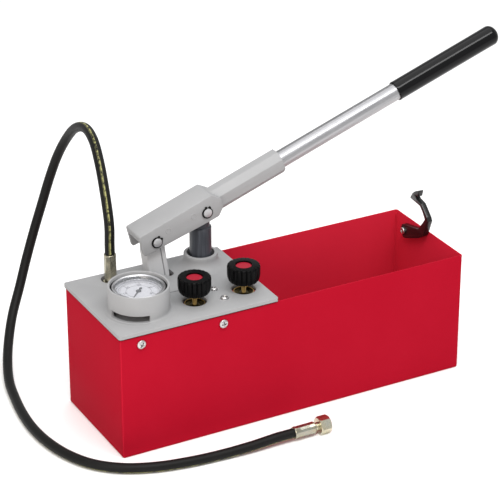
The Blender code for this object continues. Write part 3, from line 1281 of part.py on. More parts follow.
def hose_end():
    """Tail with its bead, sealing ring and the union nut that turns on it."""
    start = hose_stop.x + FERRULE_END_LENGTH + GAP
    tail, bead, bore = TAIL_DIAMETER / 2, TAIL_BEAD / 2, TAIL_BORE / 2
    nut_start = TAIL_NECK
    bead_start = nut_start + NUT_BACK + GAP
    nose_end = bead_start + TAIL_BEAD / 4
    tail_piece = turned("hose_tail", [
        (bore, nose_end), (bead - SMALL_BREAK, nose_end), (bead, nose_end - SMALL_BREAK), (bead, bead_start),
        (tail, bead_start), (tail, 0), (bore, 0)], YELLOW_ZINC, ring=True)
    seal = turned("nut_seal", [
        (bore + SMALL_BREAK, nose_end + GAP + NUT_SEAL_THICKNESS),
        (bead, nose_end + GAP + NUT_SEAL_THICKNESS),
        (bead, nose_end + GAP), (bore + SMALL_BREAK, nose_end + GAP)], BLACK_RUBBER, ring=True)
    for piece in (tail_piece, seal):
        piece.rotation_euler = ALONG_X
        piece.location = (start, hose_stop.y, hose_stop.z)
        smooth(piece)
    nut_axis = pivot("union_nut_axis", (start + nut_start, hose_stop.y, hose_stop.z), ALONG_X)
    corner = NUT_HEX / 2 / cos(pi / 6)
    nut = rod("union_nut", (0, 0, 0), (0, 0, NUT_LENGTH), 2 * corner, YELLOW_ZINC, sides=6)
    ends = turned("nut_chamfer", [
        (0, NUT_LENGTH), (NUT_HEX / 2, NUT_LENGTH), (corner + MERGE, NUT_LENGTH - NUT_CHAMFER),
        (corner + MERGE, NUT_CHAMFER), (NUT_HEX / 2, 0), (0, 0)])
    thread = rod("nut_thread", (0, 0, NUT_BACK), (0, 0, NUT_LENGTH + OVERRUN), NUT_THREAD,
                 sides=STEPS_MEDIUM)
    throat = rod("nut_throat", (0, 0, -OVERRUN), (0, 0, NUT_LENGTH), TAIL_DIAMETER + 2 * GAP,
                 sides=STEPS_MEDIUM)
    carry(nut_axis, nut, ends, thread, throat)
    boolean(nut, ends, "INTERSECT")
    cut(nut, thread, throat)
    return smooth(nut)


def handle_hook():
    """Black hook on the end wall that swings over the lowered handle."""
    hook = pivot("hook_axis", (hook_right - HOOK_THICKNESS / 2, hook_y, hook_z))
    obj = flat("handle_hook", rounded(HOOK_OUTLINE), HOOK_THICKNESS, BLACK_PLASTIC)
    obj.rotation_euler = (pi / 2, 0, pi / 2)
    bevel(obj, HOOK_EDGE, 1)
    hole = rod("hook_hole", (-HOOK_THICKNESS, 0, 0), (HOOK_THICKNESS, 0, 0), HOOK_SCREW_SHANK + 2 * GAP)
    carry(hook, obj, hole)
    cut(obj, hole)
    smooth(obj)
    face = hook_right - HOOK_THICKNESS - GAP
    length = HOOK_THICKNESS + TANK_WALL + 3 * GAP + HOOK_NUT_HEIGHT
    screw = screw_piece("hook_screw", HOOK_SCREW_HEAD, HOOK_SCREW_HEAD_HEIGHT, HOOK_SCREW_SHANK, length,
                        BRIGHT_STEEL)
    screw.rotation_euler = (0, -pi / 2, 0)
    screw.location = (face, hook_y, hook_z)
    nut = rod("hook_nut", (tank_right + GAP, hook_y, hook_z),
              (tank_right + GAP + HOOK_NUT_HEIGHT, hook_y, hook_z),
              HOOK_NUT_DIAMETER / cos(pi / 6), BRIGHT_STEEL, sides=6)
    nut_hole = rod("hook_nut_hole", (tank_right - OVERRUN, hook_y, hook_z),
                   (tank_right + HOOK_NUT_HEIGHT + OVERRUN, hook_y, hook_z), HOOK_SCREW_SHANK + 2 * GAP)
    cut(nut, nut_hole)
    smooth(nut)


tank()
head_plate()
plate_screws()
wall_screws()
pump_cylinder()
wiper_ring()
foot_valve()
suction_strainer()
piston(pivot("piston_slide", (pump_x, pump_y, PIN_HEIGHT)))
lever_axis = pivot("lever_axis", (pump_x, pump_y, PIN_HEIGHT), (0, -LEVER_ANGLE, 0))
lever_yoke(lever_axis)
lever_pins(lever_axis)
handle(lever_axis)
rocker_link(pivot("link_axis", (link_pivot_x, pump_y, link_pivot_z), (0, -LINK_LEAN, 0)))
link_base_pin()
gauge_body()
gauge_needle(pivot("needle_axis", (gauge_x, gauge_y, dial_top + GAP + NEEDLE_THICKNESS / 2),
                   (0, 0, NEEDLE_START)))
valves()
valve_block()
pipes()
hose_fitting()
hose()
hose_end()
handle_hook()
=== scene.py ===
"""Dressed model of the hand-operated hydrostatic test pump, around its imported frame.

X runs along the tank, Y from its front wall to its back wall, Z up.
"""

import json
from math import atan2, ceil, cos, hypot, pi, radians, sin, tan

import bpy
from mathutils import Matrix, Vector


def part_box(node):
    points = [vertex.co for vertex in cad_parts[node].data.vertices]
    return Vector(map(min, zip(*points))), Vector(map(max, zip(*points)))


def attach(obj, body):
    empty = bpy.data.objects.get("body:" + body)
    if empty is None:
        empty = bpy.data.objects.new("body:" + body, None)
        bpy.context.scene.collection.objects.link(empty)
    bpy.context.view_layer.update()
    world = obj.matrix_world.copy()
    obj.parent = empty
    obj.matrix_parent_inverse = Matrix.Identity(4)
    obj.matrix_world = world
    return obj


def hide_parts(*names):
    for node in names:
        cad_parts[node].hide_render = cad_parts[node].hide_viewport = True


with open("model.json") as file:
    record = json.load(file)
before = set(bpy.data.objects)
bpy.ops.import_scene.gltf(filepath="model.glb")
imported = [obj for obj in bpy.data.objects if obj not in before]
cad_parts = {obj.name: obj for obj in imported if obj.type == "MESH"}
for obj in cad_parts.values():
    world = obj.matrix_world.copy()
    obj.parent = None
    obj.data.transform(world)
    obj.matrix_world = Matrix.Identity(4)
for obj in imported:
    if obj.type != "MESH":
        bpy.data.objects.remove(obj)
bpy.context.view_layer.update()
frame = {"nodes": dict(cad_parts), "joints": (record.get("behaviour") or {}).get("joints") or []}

MM = 0.001
MERGE = 0.005
GAP = 0.3                   # between pieces that do not touch
ROUND_LARGE = 128
ROUND_MEDIUM = 72
ROUND_SMALL = 40

# Camera, as in the photograph
VIEW_AZIMUTH = radians(-28.381)
VIEW_ELEVATION = radians(26.092)
VIEW_DISTANCE = 2861.82
VIEW_TARGET = Vector((-25.451, 0, 208.859))
VIEW_LENS = 156.66
VIEW_SENSOR = 36

# Driving sizes that the frame's boxes do not give
PLATE_THICKNESS = 6
LEVER_ANGLE = radians(19.6)
PIN_SPACING = 78
LINK_LEAN = radians(8.5)
INSIDE_DEPTH = 0.7           # further in than this, the inner walls are painted a lighter red, as painted light


def box(node):
    """Low and high corner of a CAD node."""
    low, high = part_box(node)
    return low / MM, high / MM


def middle(node):
    low, high = box(node)
    return (low + high) / 2


def size(node):
    low, high = box(node)
    return high - low


def levels(node):
    """Lowest and highest Z of a CAD node."""
    low, high = box(node)
    return low.z, high.z


def round_radius(node):
    """Radius of a round node that stands upright."""
    return size(node).x / 2


def joint_place(name):
    return Vector(joints[name]["pos_m"]) / MM


joints = {joint["name"]: joint for joint in frame["joints"]}
piston_pin = joint_place("lever_swing")
link_pivot = joint_place("link_rock")
tank_low, tank_high = box("tank")
plate_low, plate_high = box("head_plate")
plate_bottom = tank_high.z + GAP
plate_top = plate_bottom + PLATE_THICKNESS
plate_middle = plate_top - PLATE_THICKNESS / 2


# Shader nodes as expressions


class Value:
    """A socket or number of a shader, with arithmetic on it."""

    def __init__(self, finish, source):
        self.finish = finish
        self.source = source

    def maths(self, operation, *others):
        return self.finish.node("ShaderNodeMath", {"operation": operation}, [self, *others])

    def __add__(self, other):
        return self.maths("ADD", other)

    def __sub__(self, other):
        return self.maths("SUBTRACT", other)

    def __rsub__(self, other):
        return Value(self.finish, other).maths("SUBTRACT", self)

    def __mul__(self, other):
        return self.maths("MULTIPLY", other)

    def __gt__(self, other):
        return self.maths("GREATER_THAN", other)

    def __lt__(self, other):
        return self.maths("LESS_THAN", other)

    def size(self):
        return self.maths("ABSOLUTE")

    def between(self, low, high):
        """0 below low, 1 above high and a soft step between."""
        settings = {"interpolation_type": "SMOOTHSTEP"}
        sockets = {"Value": self, "From Min": low, "From Max": high}
        return self.finish.node("ShaderNodeMapRange", settings, sockets)

    __radd__ = __add__
    __rmul__ = __mul__


class Finish:
    """One material under construction, on the Object coordinates of its piece, and its slot."""

    def __init__(self, name, slot=None):
        self.slot = slot
        self.material = bpy.data.materials.new(name)
        self.material.use_nodes = True
        self.tree = self.material.node_tree
        self.shader = self.tree.nodes["Principled BSDF"]
        place = self.tree.nodes.new("ShaderNodeTexCoord")
        self.place = Value(self, place.outputs["Object"])
        self.bumps = None

    def node(self, kind, settings, sockets, output=0):
        """A node with its settings first, then the values or links of its sockets."""
        made = self.tree.nodes.new(kind)
        for name, value in settings.items():
            if name == "stops":
                self.stops(made.color_ramp, value)
            else:
                setattr(made, name, value)
        named = sockets.items() if isinstance(sockets, dict) else enumerate(sockets)
        for key, value in named:
            self.feed(made.inputs[key], value)
        return Value(self, made.outputs[output])

    def stops(self, ramp, stops):
        while len(ramp.elements) < len(stops):
            ramp.elements.new(0.5)
        for element, (position, colour) in zip(ramp.elements, stops):
            element.position = position
            element.color = (*colour, 1)

    def feed(self, socket, value):
        while isinstance(value, Value):
            value = value.source
        if isinstance(value, bpy.types.NodeSocket):
            self.tree.links.new(value, socket)
        elif isinstance(value, tuple) and len(value) == 3 and socket.type == "RGBA":
            socket.default_value = (*value, 1)
        else:
            socket.default_value = value

    def scaled(self, stretch, place=None):
        """The piece's coordinates stretched, for a grain with a direction."""
        return self.node("ShaderNodeVectorMath", {"operation": "MULTIPLY"}, [place or self.place, stretch])

    def along_lever(self):
        """The piece's coordinates turned, so that X runs along the handle at rest."""
        sockets = {"Vector": self.place, "Angle": LEVER_ANGLE}
        return self.node("ShaderNodeVectorRotate", {"rotation_type": "Y_AXIS"}, sockets)

    def noise(self, scale, detail=4.0, roughness=0.55, at=None):
        sockets = {"Vector": at or self.place, "Scale": scale, "Detail": detail, "Roughness": roughness}
        return self.node("ShaderNodeTexNoise", {}, sockets)

    def cells(self, scale):
        return self.node("ShaderNodeTexVoronoi", {"feature": "F1"}, {"Vector": self.place, "Scale": scale})

    def axis(self, name, place=None):
        return self.node("ShaderNodeSeparateXYZ", {}, [place or self.place], "XYZ".index(name))

    def mix(self, factor, first, second):
        return self.node("ShaderNodeMix", {"data_type": "RGBA"}, {0: factor, 6: first, 7: second}, 2)

    def bump(self, height, strength, distance):
        sockets = {"Strength": strength, "Distance": distance * MM, "Height": height}
        if self.bumps:
            sockets["Normal"] = self.bumps
        self.bumps = self.node("ShaderNodeBump", {}, sockets)

    def finished(self, colour, roughness, metallic=0.0, **others):
        sockets = {"Base Color": colour, "Roughness": roughness, "Metallic": metallic}
        sockets.update({name.replace("_", " "): value for name, value in others.items()})
        if self.bumps:
            sockets["Normal"] = self.bumps
        for name, value in sockets.items():
            self.feed(self.shader.inputs[name], value)
        return self.material, self.slot


def grey(shade, blue=None):
    """A grey, or one with a little more or less blue in it."""
    return shade, shade, blue or shade


def red_powder_coat():
    """Red coat with a fine orange peel and uneven depth, painted a lighter red inside the tank as painted
    light on its inner walls.
    """
    made = Finish("red powder coat", "red_paint")
    x, y, z = (made.axis(name) for name in "XYZ")
    inside = (x.size() < (tank_high.x - INSIDE_DEPTH) * MM) * (y.size() < (tank_high.y - INSIDE_DEPTH) * MM)
    inside = inside * (z > (tank_low.z + INSIDE_DEPTH) * MM)
    cloud = made.noise(9, 3)
    peel = made.noise(650, 2, 0.5)
    dust = made.noise(60, 6, 0.7).between(0.60, 0.78)
    outer = made.mix(cloud, (0.320, 0.0042, 0.0150), (0.362, 0.0070, 0.0205))
    # painted light: the inner walls get a lighter red to stand in for the light that falls on them
    inside_painted_light = made.mix(cloud, (0.480, 0.0140, 0.0330), (0.530, 0.0180, 0.0390))
    colour = made.mix(dust * 0.05, made.mix(inside, outer, inside_painted_light), (0.50, 0.06, 0.07))
    made.bump(peel, 0.10, 0.4)
    return made.finished(colour, cloud * 0.08 + dust * 0.10 + 0.34, Specular_IOR_Level=0.005)


def cast_grey(name, shade):
    """Silver-grey paint on a blasted casting."""
    made = Finish(name, "grey_casting")
    grain = made.noise(900, 5, 0.65)
    patch = made.noise(28, 4, 0.6)
    wear = made.noise(140, 6, 0.75).between(0.66, 0.80)
    dark, light, worn = [tuple(part * shade for part in colour) for colour in (
        (0.300, 0.301, 0.306), (0.350, 0.351, 0.357), (0.43, 0.43, 0.44))]
    colour = made.mix(wear * 0.25, made.mix(patch, dark, light), worn)
    made.bump(grain, 0.22, 0.25)
    made.bump(made.noise(180, 3), 0.10, 0.5)
    return made.finished(colour, patch * 0.10 + grain * 0.08 + 0.50, 0.08, Specular_IOR_Level=0.35)


def slate_coat():
    """Smooth dark coating of the piston, rubbed to fine rings by its wiper, with upright light and dark
    streaks painted in as painted reflection on the round piston.
    """
    made = Finish("slate piston coat", "slate_piston")
    rings = made.noise(7, 6, 0.7, made.scaled((1, 1, 260)))
    # painted reflection: upright light and dark streaks in the colour stand in for the reflection bands on
    # the round piston
    runs = made.noise(240, 3, 0.5, made.scaled((1, 1, 0.06)))
    depth = rings * 0.3 + runs.between(0.38, 0.62) * 0.6
    colour = made.mix(depth, (0.024, 0.027, 0.035), (0.074, 0.080, 0.096))
    made.bump(runs, 0.05, 0.2)
    return made.finished(colour, rings * 0.14 + 0.32, 0.15)


def drawn_aluminium():
    """Polished tube with long hair lines and streaks from drawing, its underside painted a flat pale grey
    that stands in for the light and reflection on its lower edge.
    """
    made = Finish("polished aluminium", "polished_aluminium")
    place = made.along_lever()
    height = made.axis("Z", place)
    axis_height = piston_pin.z * cos(LEVER_ANGLE) - piston_pin.x * sin(LEVER_ANGLE)
    hair = made.noise(950, 4, 0.6, made.scaled((0.02, 1, 1), place))
    streak = made.noise(210, 3, 0.6, made.scaled((0.012, 1, 1), place)).between(0.38, 0.62)
    haze = made.noise(160, 5, 0.7, made.scaled((0.25, 1, 1), place))
    bright = made.mix(streak * 0.6 + haze * 0.4, grey(0.24, 0.25), grey(0.46, 0.47))
    # painted light: the lower side of the tube gets a flat pale grey, rougher and less metallic, in place of
    # what lights and reflects there
    under = 1 - height.between((axis_height - 9) * MM, (axis_height + 1.5) * MM)
    colour = made.mix(under * 0.9, bright, grey(0.52, 0.53))
    made.bump(hair, 0.10, 0.08)
    return made.finished(colour, hair * 0.12 + haze * 0.10 + under * 0.35 + 0.26, 1 - under * 0.8)


def dipped_vinyl():
    """Gloss black grip, slightly wavy as dipped."""
    made = Finish("gloss black vinyl", "black_vinyl")
    wave = made.noise(34, 2, 0.4, made.scaled((0.35, 1, 1), made.along_lever()))
    specks = made.cells(420).between(0.0, 0.12)
    made.bump(wave, 0.20, 0.9)
    colour = made.mix(specks, grey(0.0040, 0.0045), grey(0.0020, 0.0025))
    return made.finished(colour, wave * 0.05 + 0.10, Specular_IOR_Level=0.20)


def moulded_plastic(name, slot, dark, light, roughness, shine=0.3):
    """Moulded plastic with a fine spark-eroded grain."""
    made = Finish(name, slot)
    grain = made.noise(1500, 3, 0.6)
    cloud = made.noise(45, 4, 0.6)
    rub = made.noise(230, 5, 0.7).between(0.62, 0.80)
    made.bump(grain, 0.16, 0.12)
    colour = made.mix(cloud * 0.7 + rub * 0.3, dark, light)
    return made.finished(colour, grain * 0.10 + rub * 0.08 + roughness, Specular_IOR_Level=shine)


def machined(name, slot, dark, light, roughness):
    """Turned or rolled metal: fine tool marks and a light tarnish."""
    made = Finish(name, slot)
    marks = made.noise(520, 4, 0.65)
    tarnish = made.noise(55, 5, 0.65)
    made.bump(marks, 0.07, 0.10)
    return made.finished(made.mix(tarnish, dark, light), tarnish * 0.16 + marks * 0.08 + roughness, 1.0)


def gauge_chrome():
    """Plated gauge parts with soft dark streaks running around them."""
    made = Finish("gauge chrome", "bright_steel")
    streak = made.noise(95, 3, 0.6, made.scaled((0.35, 0.35, 6)))
    marks = made.noise(700, 4, 0.65)
    colour = made.mix(streak.between(0.42, 0.62), grey(0.46, 0.47), grey(0.66, 0.68))
    made.bump(marks, 0.05, 0.08)
    return made.finished(colour, streak * 0.10 + marks * 0.06 + 0.16, 1.0)


def yellow_zinc(name, shade):
    """Yellow-passivated zinc, with its drift from straw to green and rose."""
    made = Finish(name, "yellow_zinc")
    drift = made.noise(38, 4, 0.6)
    drifts = [(0.30, (0.36, 0.35, 0.28)), (0.45, (0.52, 0.48, 0.35)),
              (0.58, (0.49, 0.49, 0.42)), (0.72, (0.56, 0.46, 0.34))]
    settings = {"stops": [(place, tuple(part * shade for part in colour)) for place, colour in drifts]}
    colour = made.node("ShaderNodeValToRGB", settings, [drift])
    scratch = made.noise(700, 4, 0.7)
    made.bump(scratch, 0.08, 0.10)
    return made.finished(colour, scratch * 0.12 + 0.22, 1.0)


def hose_rubber():
    """Hose cover: wrapped-cloth pattern and a plain worn straw-coloured stripe along it."""
    made = Finish("hose cover", "black_rubber")
    along = made.node("ShaderNodeUVMap", {}, {})
    run, around = made.axis("X", along), made.axis("Y", along)
    wrap = (run * 260 + around).maths("FRACT")
    ridge = ((wrap - 0.5).size() * 2).between(0.80, 1.0)
    worn = made.noise(170, 5, 0.75)
    stripe = 1 - (around - 0.150).size().between(0.016, 0.030)
    line = 1 - (around - 0.106).size().between(0.004, 0.009)
    band = stripe * worn.between(0.42, 0.56) + line * worn.between(0.36, 0.60) * 0.5
    weave = made.noise(420, 4, 0.7)
    rubber = made.mix(made.noise(60, 4) * 0.4 + weave * 0.6, grey(0.0022), grey(0.0120, 0.0115))
    colour = made.mix(band.maths("MINIMUM", 0.85), rubber, (0.34, 0.33, 0.13))
    made.bump(ridge, 0.25, 0.15)
    made.bump(weave, 0.20, 0.15)
    return made.finished(colour, worn * 0.12 + 0.42, Specular_IOR_Level=0.12)


def dial_enamel():
    made = Finish("white dial", "white_dial")
    fleck = made.noise(300, 4, 0.6)
    made.bump(fleck, 0.02, 0.05)
    return made.finished(made.mix(fleck, grey(0.45, 0.49), grey(0.53, 0.56)), fleck * 0.08 + 0.38)


def gauge_pane():
    """Clear pane: nearly all light passes, with a faint smear."""
    made = Finish("clear pane", "clear_glass")
    smear = made.noise(70, 4, 0.6)
    return made.finished((0.60, 0.62, 0.65), smear * 0.05 + 0.02, Alpha=smear * 0.05 + 0.07)



RED = red_powder_coat()
GREY = cast_grey("grey painted casting", 0.92)
PLATE_GREY = cast_grey("grey painted plate", 0.90)
# The link's copy of the grey is 1.6 times lighter: painted light against the yoke's shadow that falls on the
# link.
LINK_GREY_PAINTED_LIGHT = cast_grey("grey link with painted light", 1.6)
SLATE = slate_coat()
ALUMINIUM = drawn_aluminium()
VINYL = dipped_vinyl()
KNOB_BLACK = moulded_plastic("black plastic", "black_plastic", grey(0.0012, 0.0014),
                             grey(0.0040, 0.0042), 0.24, 0.06)
HOOK_BLACK = moulded_plastic("satin black plastic", "black_plastic", grey(0.0040, 0.0042),
                             grey(0.0100, 0.0105), 0.24, 0.42)
CAP_RED = moulded_plastic("red plastic", "red_plastic", (0.27, 0.007, 0.020),
                          (0.33, 0.012, 0.028), 0.30, 0.15)
BRASS = machined("brass", "brass", (0.42, 0.27, 0.085), (0.62, 0.44, 0.17), 0.20)
# Brass painted very dark as painted shade, for the gland deep under the knob where the knob's shade falls.
SHADED_BRASS = machined("brass with painted shade", "brass", (0.030, 0.024, 0.010), (0.15, 0.12, 0.05), 0.22)
STEEL = machined("bright zinc", "bright_steel", grey(0.52, 0.54), grey(0.72, 0.73), 0.16)
PIN_STEEL = machined("ground pin steel", "bright_steel", grey(0.50, 0.51), grey(0.66, 0.67), 0.44)
SCREW_STEEL = machined("dull zinc", "bright_steel", (0.40, 0.39, 0.39), (0.66, 0.65, 0.65), 0.24)
CHROME = gauge_chrome()
SPRING = machined("blackened spring steel", "black_spring_steel", grey(0.012), (0.030, 0.029, 0.028), 0.30)
ZINC = yellow_zinc("yellow zinc", 1.15)
DULL_ZINC = yellow_zinc("dull yellow zinc", 0.72)
HOSE_COVER = hose_rubber()
RUBBER = moulded_plastic("black rubber", "black_rubber", grey(0.012), grey(0.030), 0.46)
# Near-black for pieces that stand in for shadow: the strip under the plate's edge and the ring in the gap
# around the gauge.
PAINTED_SHADOW_BLACK = (KNOB_BLACK[0], "black_rubber")
DIAL_WHITE = dial_enamel()
PRINT_BLACK = moulded_plastic("printed black", "black_plastic", grey(0.010, 0.014), grey(0.022, 0.028), 0.40)
PANE = gauge_pane()


# Modelling, as by hand


def begin():
    """Nothing selected, so that the next operator acts only on the new primitive."""
    if bpy.context.object and bpy.context.object.mode != "OBJECT":
        bpy.ops.object.mode_set(mode="OBJECT")
    bpy.ops.object.select_all(action="DESELECT")


def only(piece):
    begin()
    piece.select_set(True)
    bpy.context.view_layer.objects.active = piece
    return piece


def draw(points):
    """A line of edges from point to point, left in edit mode."""
    begin()
    bpy.ops.mesh.primitive_plane_add(size=MM, location=(0, 0, 0))
    bpy.ops.object.mode_set(mode="EDIT")
    bpy.ops.mesh.select_mode(type="VERT")
    bpy.ops.mesh.select_all(action="SELECT")
    bpy.ops.mesh.merge(type="CENTER")
    points = [Vector(point) * MM for point in points]
    bpy.ops.transform.translate(value=points[0])
    for here, there in zip(points, points[1:]):
        bpy.ops.mesh.extrude_region_move(TRANSFORM_OT_translate={"value": there - here})
    bpy.ops.mesh.select_all(action="SELECT")


def close_up(name):
    """Merge, turn the faces outwards and leave edit mode."""
    bpy.ops.mesh.select_all(action="SELECT")
    bpy.ops.mesh.remove_doubles(threshold=MERGE * MM)
    bpy.ops.mesh.normals_make_consistent(inside=False)
    bpy.ops.object.mode_set(mode="OBJECT")
    return named(bpy.context.object, name)


def named(piece, name):
    piece.name = piece.data.name = name
    return piece


def turned(name, profile, steps=ROUND_MEDIUM):
    """A turned form about Z from its (radius, height) profile, a ring where that starts off the axis."""
    points = [(radius, 0, height) for radius, height in profile]
    if profile[0][0] > 0:
        points.append(points[0])
    draw(points)
    bpy.ops.mesh.spin(steps=steps, angle=2 * pi, center=(0, 0, 0), axis=(0, 0, 1))
    return close_up(name)


def slab(name, outline, thickness):
    """A flat outline in XY, from half its thickness below to half above."""
    points = [(x, y, -thickness / 2) for x, y in outline]
    draw(points + points[:1])
    bpy.ops.mesh.remove_doubles(threshold=MERGE * MM)
    bpy.ops.mesh.select_all(action="SELECT")
    bpy.ops.mesh.edge_face_add()
    bpy.ops.mesh.extrude_region_move(TRANSFORM_OT_translate={"value": (0, 0, thickness * MM)})
    return close_up(name)


def block(name, low, high):
    """A box between two corners, to be shaped further."""
    low, high = Vector(low) * MM, Vector(high) * MM
    begin()
    bpy.ops.mesh.primitive_cube_add(size=1, location=(low + high) / 2, scale=high - low)
    bpy.ops.object.transform_apply(location=True, rotation=True, scale=True)
    return named(bpy.context.object, name)


def round_bar(name, start, end, diameter, sides=ROUND_SMALL):
    """A straight round or many-sided bar between two points."""
    start, end = Vector(start), Vector(end)
    begin()
    bpy.ops.mesh.primitive_cylinder_add(vertices=sides, radius=diameter / 2 * MM,
                                        depth=(end - start).length * MM)
    turn = Vector((0, 0, 1)).rotation_difference(end - start).to_matrix().to_4x4()
    return placed(named(bpy.context.object, name), at(*(start + end) / 2) @ turn)


def cross_bar(name, x, z, half, diameter, sides=ROUND_MEDIUM):
    """A round bar along Y, half its length to each side of Y = 0."""
    return round_bar(name, (x, -half, z), (x, half, z), diameter, sides)


def placed(piece, matrix):
    """Put the place into the mesh, so that the object stays at the origin."""
    only(piece)
    piece.matrix_world = matrix
    bpy.ops.object.transform_apply(location=True, rotation=True, scale=True)
    return piece


def at(x, y, z, *turns):
    """A place in the frame, with turns as (angle, axis) in the order that they are made."""
    matrix = Matrix.Translation(Vector((x, y, z)) * MM)
    for angle, axis in reversed(turns):
        matrix = matrix @ Matrix.Rotation(angle, 4, axis)
    return matrix


def above(point):
    """The place with its axis upright through the point, and its origin on the floor."""
    return at(point.x, point.y, 0)


def pick(piece, kind, test):
    """Open the piece in edit mode with only the faces or vertices that pass the test."""
    only(piece)
    bpy.ops.object.mode_set(mode="EDIT")
    bpy.ops.mesh.select_mode(type=kind)
    bpy.ops.mesh.select_all(action="DESELECT")
    bpy.ops.object.mode_set(mode="OBJECT")
    for item in piece.data.polygons if kind == "FACE" else piece.data.vertices:
        item.select = test(item)
    bpy.ops.object.mode_set(mode="EDIT")


def resize_picked(*factors):
    """Scale what is picked about the origin, and leave edit mode."""
    bpy.ops.transform.resize(value=factors, center_override=(0, 0, 0))
    bpy.ops.object.mode_set(mode="OBJECT")


def apply_modifier(piece, kind, **settings):
    only(piece)
    made = piece.modifiers.new("Shape", kind)
    for name, value in settings.items():
        setattr(made, name, value)
    bpy.ops.object.modifier_apply(modifier=made.name)
    return piece


def rounded_edges(piece, width, segments=3, angle=30):
    return apply_modifier(piece, "BEVEL", width=width * MM, segments=segments, limit_method="ANGLE",
                          angle_limit=radians(angle), use_clamp_overlap=True)


def combine(piece, tools, operation):
    """Join the tools to the piece or cut them out of it, then remove them."""
    for tool in tools:
        apply_modifier(piece, "BOOLEAN", operation=operation, object=tool, solver="EXACT")
        bpy.data.objects.remove(tool, do_unlink=True)
    return piece


def cut(piece, *tools):
    return combine(piece, tools, "DIFFERENCE")


def join(piece, *tools):
    return combine(piece, tools, "UNION")


def dress(piece, finish, body="tank_unit", node=None, angle=32):
    """Shade a finished piece, give it its material, hide the CAD node that it stands for and attach it to its
    body.

    A piece with _piece in its name has, but for that, the name of its node.
    """
    material, slot = finish
    only(piece)
    bpy.ops.object.shade_smooth_by_angle(angle=radians(angle))
    piece.data.materials.clear()
    piece.data.materials.append(material)
    if not node and "_piece" in piece.name:
        node = piece.name.replace("_piece", "")
    if node:
        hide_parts(node)
    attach(piece, body)


def turned_piece(name, finish, profile, place, body="tank_unit", node=None, steps=ROUND_LARGE, angle=32):
    """A turned form, put in its place and dressed."""
    dress(placed(turned(name, profile, steps), place), finish, body, node, angle)


# Outlines and profiles


def arc(centre, radius, start, end, step=radians(6)):
    count = max(2, ceil(abs(end - start) / step))
    turns = [start + (end - start) * i / count for i in range(count + 1)]
    return [(centre[0] + radius * cos(turn), centre[1] + radius * sin(turn)) for turn in turns]


def rounded(corners, step=radians(15)):
    """An outline from (x, y, radius) corners."""
    outline = []
    for i, (x, y, radius) in enumerate(corners):
        here = Vector((x, y))
        before = (Vector(corners[i - 1][:2]) - here).normalized()
        after = (Vector(corners[(i + 1) % len(corners)][:2]) - here).normalized()
        if radius <= 0:
            outline.append((x, y))
            continue
        half = before.angle(after) / 2
        centre = here + (before + after).normalized() * (radius / sin(half))
        first = here + before * (radius / tan(half)) - centre
        last = here + after * (radius / tan(half)) - centre
        start = atan2(first.y, first.x)
        outline += arc(centre, radius, start, start - first.angle_signed(last), step)
    return outline


def rectangle(low_x, low_y, high_x, high_y, radius):
    return rounded([(high_x, high_y, radius), (low_x, high_y, radius),
                    (low_x, low_y, radius), (high_x, low_y, radius)])


def fillet(start, end, count=6):
    """Points of a quarter round from one profile point to another, hollow side outwards."""
    (r0, z0), (r1, z1) = start, end
    turns = [pi / 2 * i / count for i in range(1, count)]
    return [(r0 + (r1 - r0) * (1 - cos(turn)), z0 + (z1 - z0) * sin(turn)) for turn in turns]


def dome(radius, height, base, count):
    """Profile of a round top, from its summit on the axis down to its rim at the base."""
    turns = [pi / 2 * i / count for i in range(count + 1)]
    return [(radius * sin(turn), base + height * cos(turn)) for turn in turns]


# Camera, floor and light


def camera():
    level = cos(VIEW_ELEVATION)
    back = Vector((sin(VIEW_AZIMUTH) * level, -cos(VIEW_AZIMUTH) * level, sin(VIEW_ELEVATION)))
    data = bpy.data.cameras.new("camera")
    data.lens = VIEW_LENS
    data.sensor_width = VIEW_SENSOR
    data.clip_end = 50000 * MM
    made = stand("camera", data, VIEW_TARGET + back * VIEW_DISTANCE, back)
    bpy.context.scene.camera = made


def stand(name, data, place, back):
    """A camera or lamp at its place, its back turned that way."""
    made = bpy.data.objects.new(name, data)
    bpy.context.scene.collection.objects.link(made)
    made.location = place * MM
    made.rotation_euler = back.to_track_quat("Z", "Y").to_euler()
    return made


def floor():
    begin()
    bpy.ops.mesh.primitive_plane_add(size=14000 * MM, location=(0, 0, 0))
    ground = bpy.context.object
    ground.name = "floor"
    made = Finish("pale floor")
    made.finished((0.96, 0.96, 0.96), made.noise(30, 3) * 0.05 + 0.75)
    ground.data.materials.append(made.material)


def lamp(name, place, width, height, power, aim=(0, 0, 150), colour=(1, 1, 1)):
    data = bpy.data.lights.new(name, "AREA")
    data.shape = "RECTANGLE"
    data.size, data.size_y = width * MM, height * MM
    data.energy = power
    data.color = colour
    stand(name, data, Vector(place), Vector(place) - Vector(aim))


def studio():
    world = bpy.data.worlds.new("studio")
    bpy.context.scene.world = world
    world.use_nodes = True
    background = world.node_tree.nodes["Background"]
    background.inputs["Color"].default_value = (1, 1, 1, 1)
    background.inputs["Strength"].default_value = 0.70
    lamp("key", (-900, -1300, 2500), 900, 900, 29)
    lamp("front", (290, -1170, 2270), 1300, 550, 22, (360, 0, 400))
    lamp("top", (300, 200, 2600), 2200, 2200, 24)
    lamp("fill", (-1800, -1200, 900), 1000, 1000, 14, colour=(1, 0.90, 0.80))
    bpy.context.scene.view_settings.view_transform = "Standard"


camera()
floor()
studio()

# Hose: the route's points are those of the frame's source

